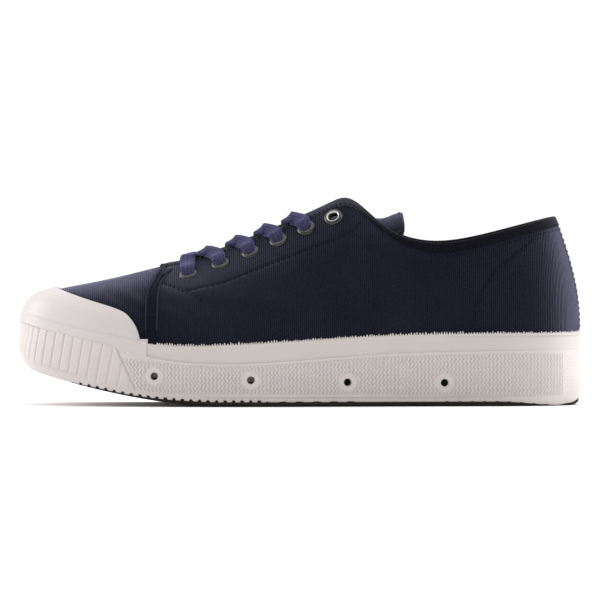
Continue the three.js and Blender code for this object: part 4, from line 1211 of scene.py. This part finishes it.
def tongue_cloth():
    """The tongue: an arched sheet whose free end is rounded and turns up, closed round its edges."""
    columns, rows = 120, 60
    a, b = np.linspace(0, 1, columns)[:, None], np.linspace(-1, 1, rows)[None]
    end = len(TONGUE["x"]) - 1 + 0.02 + 0.16 * b**2 - 0.35 * np.abs(b) ** 10
    t = a * end
    tx, tz, half = (through(TONGUE[k], "odd" if k != "half" else "even")(t) for k in ("x", "z", "half"))
    reach = b * (half + 1.5 * smooth((t - 4) / 2))
    drop = TONGUE_ARCH * reach**2 * (1 + 0.2 * smooth((t - 5) / 2))
    drop = drop - 0.9 * smooth(t - 6) + 0.9 * bell(t - 5.9, 0.6)
    ripple = 0.25 * np.sin(tx / 9) * np.sin(reach / 8) + 0.5 * bell(b, 0.35) * np.sin(tx / 14) ** 2
    seam = 0.3 * bell((1 - a) * 120 - 4.5, 0.8) + 0.3 * bell((1 - np.abs(b)) * half - 3.5, 0.8)
    crown = 0.5 * (1 - np.abs(b) ** 8) * smooth((1 - a) / 0.02)
    crown = crown - 0.9 * smooth((a - 0.965) / 0.035) ** 2
    top = np.stack([tx, axis_y(tx) + reach, tz - drop + ripple - seam + crown - 0.4], -1)
    below = np.stack([tx, axis_y(tx) + reach, tz - drop - TONGUE_THICKNESS], -1)
    points = np.concatenate([top, below[:, ::-1], top[:, :1]], 1)
    middles = [mix(top[k], below[k], 0.5) for k in (0, -1)]
    caps = [np.concatenate([m, m[::-1], m[:1]], 0)[None] for m in middles]
    points = np.concatenate([caps[0], points, caps[1]], 0)
    uv = np.stack([points[..., 0], points[..., 1]], -1)
    return grid_piece("tongue_cloth", points, canvas_cloth.material, uv, replaced=("tongue",))


def insole_pad():
    """The insole: its top dished a little and rolled over at the edge, drawn in to its middle line."""
    columns = 300
    fan = fans_round(columns)
    edge = on_skin(fan, np.full(columns, 0.02), -CANVAS - 0.5)
    x = foot_x(foot_of(fan))
    middle = np.stack([mix(20, LENGTH - 20, x / LENGTH), 0.6 * axis_y(x), 0 * fan], -1)
    rings = []
    for share, dz in ((0.0, 0.2), (0.0, 3.4), (0.012, 3.9), (0.04, 4.1), (0.15, 4.0), (0.4, 3.9),
                      (0.7, 3.85), (1.0, 3.85)):
        ring = mix(edge, middle, share)
        ring[:, 2] = floor_z(ring[:, 0]) + GAP + dz
        rings.append(ring)
    points = np.stack(rings, 1)
    uv = np.concatenate([points, points[:1]], 0)[..., :2]
    return grid_piece("insole_pad", points, insole_cloth.material, uv, closed=True,
                      replaced=("insole",))


# ---------------------------------------------------------------- lace

def eyelet_at(pair, side):
    return next(e for e in EYELETS if e["pair"] == pair and e["side"] == side)


def throat_edge(x, side, lift, depth=0.0):
    """A point over the throat's edge at x, and the outward direction just below it."""
    rows = np.linspace(0.2, 9, 500)
    row = np.interp(x, top_x(section["top"](rows)), rows)
    fan = row if side < 0 else 2 * FANS - row
    v = share_below_edge(np.array([fan]), np.array([depth]))[0, 0]
    normal = skin_normal(np.array(fan), np.array(min(v, 0.95)))
    return on_skin(fan, v, lift), normal


def tongue_top(x):
    t = np.linspace(0, len(TONGUE["x"]) - 1, 400)
    return np.interp(x, through(TONGUE["x"], "odd")(t), through(TONGUE["z"], "odd")(t))


def lace_half(first):
    """One half of the lace, from the middle of the front bar. At every pair it comes over the
    throat's edge, turns down through the eyelet, runs back under the edge and crosses the tongue to
    the other side. Each knot is (place, up, width, thickness)."""
    knots = []
    up = np.array([-0.27, 0.0, 0.96])

    def knot(place, normal, width=1.0, thick=1.0):
        knots.append((np.array(place, float), flip * unit(np.array(normal, float)), width, thick))

    side, flip = first, 1.0
    start = (throat_edge(EYELET_X[0], -1, 0)[0] + throat_edge(EYELET_X[0], 1, 0)[0]) / 2
    knot(start + [0, 0, 2.6], up)
    for pair in range(LACED_PAIRS):
        e = eyelet_at(pair, side)
        n = e["normal"]
        lean = -0.8 if pair == 0 else 8.4
        over, level = throat_edge(e["place"][0] - lean, side, 1.9)
        knot(over + [0, 0, 0.4], unit(level + [0, 0, 0.35]))
        for share, drop in ((0.33, 0.33), (0.66, 0.66)) if pair == 0 else ((0.36, 0.26), (0.82, 0.5)):
            spot = mix(over[[0, 2]], e["place"][[0, 2]], np.array([share, drop]))
            fan, v = seat(spot[None], side)
            at, facing_out = on_skin(fan, v, 2.2)[0], skin_normal(fan, v)[0]
            knot(at, facing_out, 1.0, 1.15)
        down = unit(e["place"] - at)
        down = unit(down - n * np.dot(down, n))
        knot(e["place"] - down * 1.9 + n * 2.5, unit(n + 0.45 * down), 0.9, 1.35)
        knot(e["place"] + down * 0.5 + n * 0.9, unit(n * 0.25 + down), 0.72, 1.5)
        knot(e["place"] + down * 0.3 - n * 2.0, unit(down - 0.2 * n), 0.58, 1.5)
        knot(e["place"] - down * 2.4 - n * 4.4, -n, 0.8, 1.0)
        if pair == LACED_PAIRS - 1:
            knot(e["place"] - down * 7.0 - n * 4.2, -n, 0.9, 0.8)
            break
        under, un = throat_edge(e["place"][0] + 2.4, side, -CANVAS - 2.0, 1.0)
        knot(under, -un, 1.0, 0.8)
        flip = -flip
        side = -side
        mid = mix(EYELET_X[pair], EYELET_X[pair + 1], 0.38)
        edge_z = throat_edge(mid, 1, 0)[0][2]
        upper_leg = 1.0 if (pair + (first > 0)) % 2 else 0.0
        level_z = mix(tongue_top(mid) + 1.1, edge_z, 0.3) + 1.5 * upper_leg
        knot([mid, axis_y(mid), level_z], up, 1.0, 0.8)
    return knots


def lace(name, first, replaced=()):
    """The rounded flat section carried along one half of the lace."""
    knots = lace_half(first)
    count = (len(knots) - 1) * 26 + 1
    t = np.linspace(0, len(knots) - 1, count)
    place = np.stack([through([k[0][i] for k in knots], "odd")(t) for i in range(3)], -1)
    up = unit(np.stack([np.interp(t, range(len(knots)), [k[1][i] for k in knots]) for i in range(3)], -1))
    width = np.interp(t, range(len(knots)), [k[2] for k in knots]) * LACE_WIDTH / 2
    thick = np.interp(t, range(len(knots)), [k[3] for k in knots]) * LACE_THICKNESS / 2
    turn = np.linspace(0, 2 * np.pi, 20, endpoint=False)
    waves = ((np.cos(turn), 0.55), (np.sin(turn), 0.75))
    rounded = [np.sign(wave) * np.abs(wave) ** power for wave, power in waves]
    profile = np.stack(rounded, -1)[::-1]
    profile = np.concatenate([profile, profile[:1]], 0)
    points = swept(place, up, profile, width, thick)
    walked = way(place)
    walked = np.concatenate([walked[:1], walked, walked[-1:]])
    around = np.linspace(0, 18.4, len(profile))
    uv = np.stack(np.broadcast_arrays(around[None], walked[:, None]), -1)
    return grid_piece(name, points, lace_cloth.material, uv, replaced=replaced)


# ---------------------------------------------------------------- build

sole_wall()
foot_shade_line()
sole_tread()
turned("vent_lips", VENT_LIP, vent_seats(), sole_rubber.material)
# Painted shade: the vents' inner walls and floors are near-black.
turned("vent_hollows", VENT_HOLLOW, vent_seats(), shade_rubber.material)
foxing_band()
bond_line()
toe_cap()
upper_cloth()
upper_lining()
binding_tape()
for side, word in ((-1, "outer"), (1, "inner")):
    laid_band("front_band_" + word, BAND_FRONT, BAND_BACK, side, band_cloth.material, 0.25, edge=0.95)
    edge_highlight_thread("front_edge_" + word, BAND_FRONT[1:-1], side, 0.95)
    edge_highlight_thread("back_edge_" + word, BAND_BACK[1:-1], side, 0.95)
heel_strip()
tongue_cloth()
insole_pad()

seams = []
for side in (-1, 1):
    for line in (EYESTAY_SEAM, COUNTER_SEAM):
        seams.append(seam_line(line, side, 0.25))
    seams.append(seam_line([(a + 1.4, b - 0.2) for a, b in BAND_FRONT[1:-1]], side, 1.25))
    seams.append(seam_line([(a - 1.0, b + 0.2) for a, b in BAND_BACK[1:-1]], side, 1.25))
    seams.append(seam_line(WAIST_SEAM[:4], side, 0.3))
for edge in (-4.2, 4.2):
    v = np.linspace(float(share_at_height(np.array([float(FANS)]), np.array([39.0]))[0]), 0.95, 200)
    fan = FANS + edge / 42.0 * np.ones(200)
    seams.append((on_skin(fan, v, 0.4), skin_normal(fan, v)))
fans = np.linspace(0, 2 * FANS, 1800)
tape_share = share_below_edge(fans, np.array([4.1, 6.6]))
below = on_skin(fans, tape_share[:, 1], 0.1)
collar = below[:, 0] > 178
seams.append((below[collar], skin_normal(fans, tape_share[:, 1])[collar]))
stitches("stitch_rows", seams, thread_dark.material, length=2.1, pitch=3.0, radius=0.3)
on_tape = (on_skin(fans, tape_share[:, 0], 0.9), skin_normal(fans, tape_share[:, 0]))
stitches("tape_stitches", [on_tape], thread_dark.material, length=1.7, pitch=2.4, radius=0.2)

# The eyelet rings, with the painted highlight marked on their inner rims.
ring = np.array(EYELET_RING)
turned("eyelet_rings", ring, [(e["place"], e["normal"]) for e in EYELETS], gunmetal.material,
       replaced=[f"eyelet_{s}_{k + 1}" for s in ("outer", "inner") for k in range(6)], sides=40,
       values={"rim_highlight": smooth((3.5 - ring[:, 0]) / 0.5) * smooth((ring[:, 1] + 0.3) / 0.4)})
lace("lace_a", -1, replaced=("lace_bar_1", "lace_cross_2", "lace_cross_3", "lace_cross_4", "lace_cross_5"))
lace("lace_b", 1)


# ---------------------------------------------------------------- floor, light, camera

def studio():
    """A pale floor, a ceiling of soft light, a soft light at each end of the shoe, and a white sky."""
    floor_mesh = bpy.data.meshes.new("floor")
    floor_mesh.from_pydata([(-6, -6, 0), (6, -6, 0), (6, 6, 0), (-6, 6, 0)], [], [(0, 1, 2, 3)])
    floor = bpy.data.objects.new("floor", floor_mesh)
    bpy.context.scene.collection.objects.link(floor)
    paint = Finish("floor_white", 0.9)
    paint.shader.inputs["Base Color"].default_value = (0.93, 0.93, 0.93, 1)
    floor_mesh.materials.append(paint.material)
    ceiling = bpy.data.lights.new("ceiling", "SUN")
    ceiling.energy, ceiling.angle = 1.9, math.radians(100)
    lamp = bpy.data.objects.new("ceiling", ceiling)
    lamp.location = (0, 0.4, 2)
    lamp.rotation_euler = (math.radians(-14), 0, 0)
    bpy.context.scene.collection.objects.link(lamp)
    for name, place, size, power, colour in (("toe_side", (-1.3, 0.35, 0.55), 0.8, 10, (1, 1, 1)),
                                             ("heel_side", (1.3, 0.35, 0.55), 0.8, 13, (0.98, 0.98, 1))):
        data = bpy.data.lights.new(name, "AREA")
        data.shape, data.size, data.energy, data.color = "SQUARE", size, power, colour
        light = bpy.data.objects.new(name, data)
        light.location = place
        toward_shoe = Vector((0, 0, 0.05)) - Vector(place)
        light.rotation_euler = toward_shoe.to_track_quat("-Z", "Y").to_euler()
        bpy.context.scene.collection.objects.link(light)
    world = bpy.data.worlds.new("sky")
    bpy.context.scene.world = world
    world.use_nodes = True
    back = world.node_tree.nodes["Background"]
    back.inputs["Color"].default_value = (1, 1, 1, 1)
    seen = world.node_tree.nodes.new("ShaderNodeLightPath").outputs["Is Camera Ray"]
    strength = math_node(world.node_tree, "MULTIPLY_ADD", seen, 0.52, 0.58)
    world.node_tree.links.new(strength, back.inputs["Strength"])
    bpy.context.scene.view_settings.view_transform = "Standard"


def camera():
    """A long lens, nearly level with the shoe and square to its outer side."""
    data = bpy.data.cameras.new("camera")
    data.sensor_width, data.lens = 36, 933.5
    data.clip_end = 60
    cam = bpy.data.objects.new("camera", data)
    height, reach = 0.0537, 8.0
    tilt = math.radians(1.2)
    cam.location = (0.0003, -reach * math.cos(tilt), height + reach * math.sin(tilt))
    cam.rotation_euler = (math.pi / 2 - tilt, 0, 0)
    bpy.context.scene.collection.objects.link(cam)
    bpy.context.scene.camera = cam


studio()
camera()
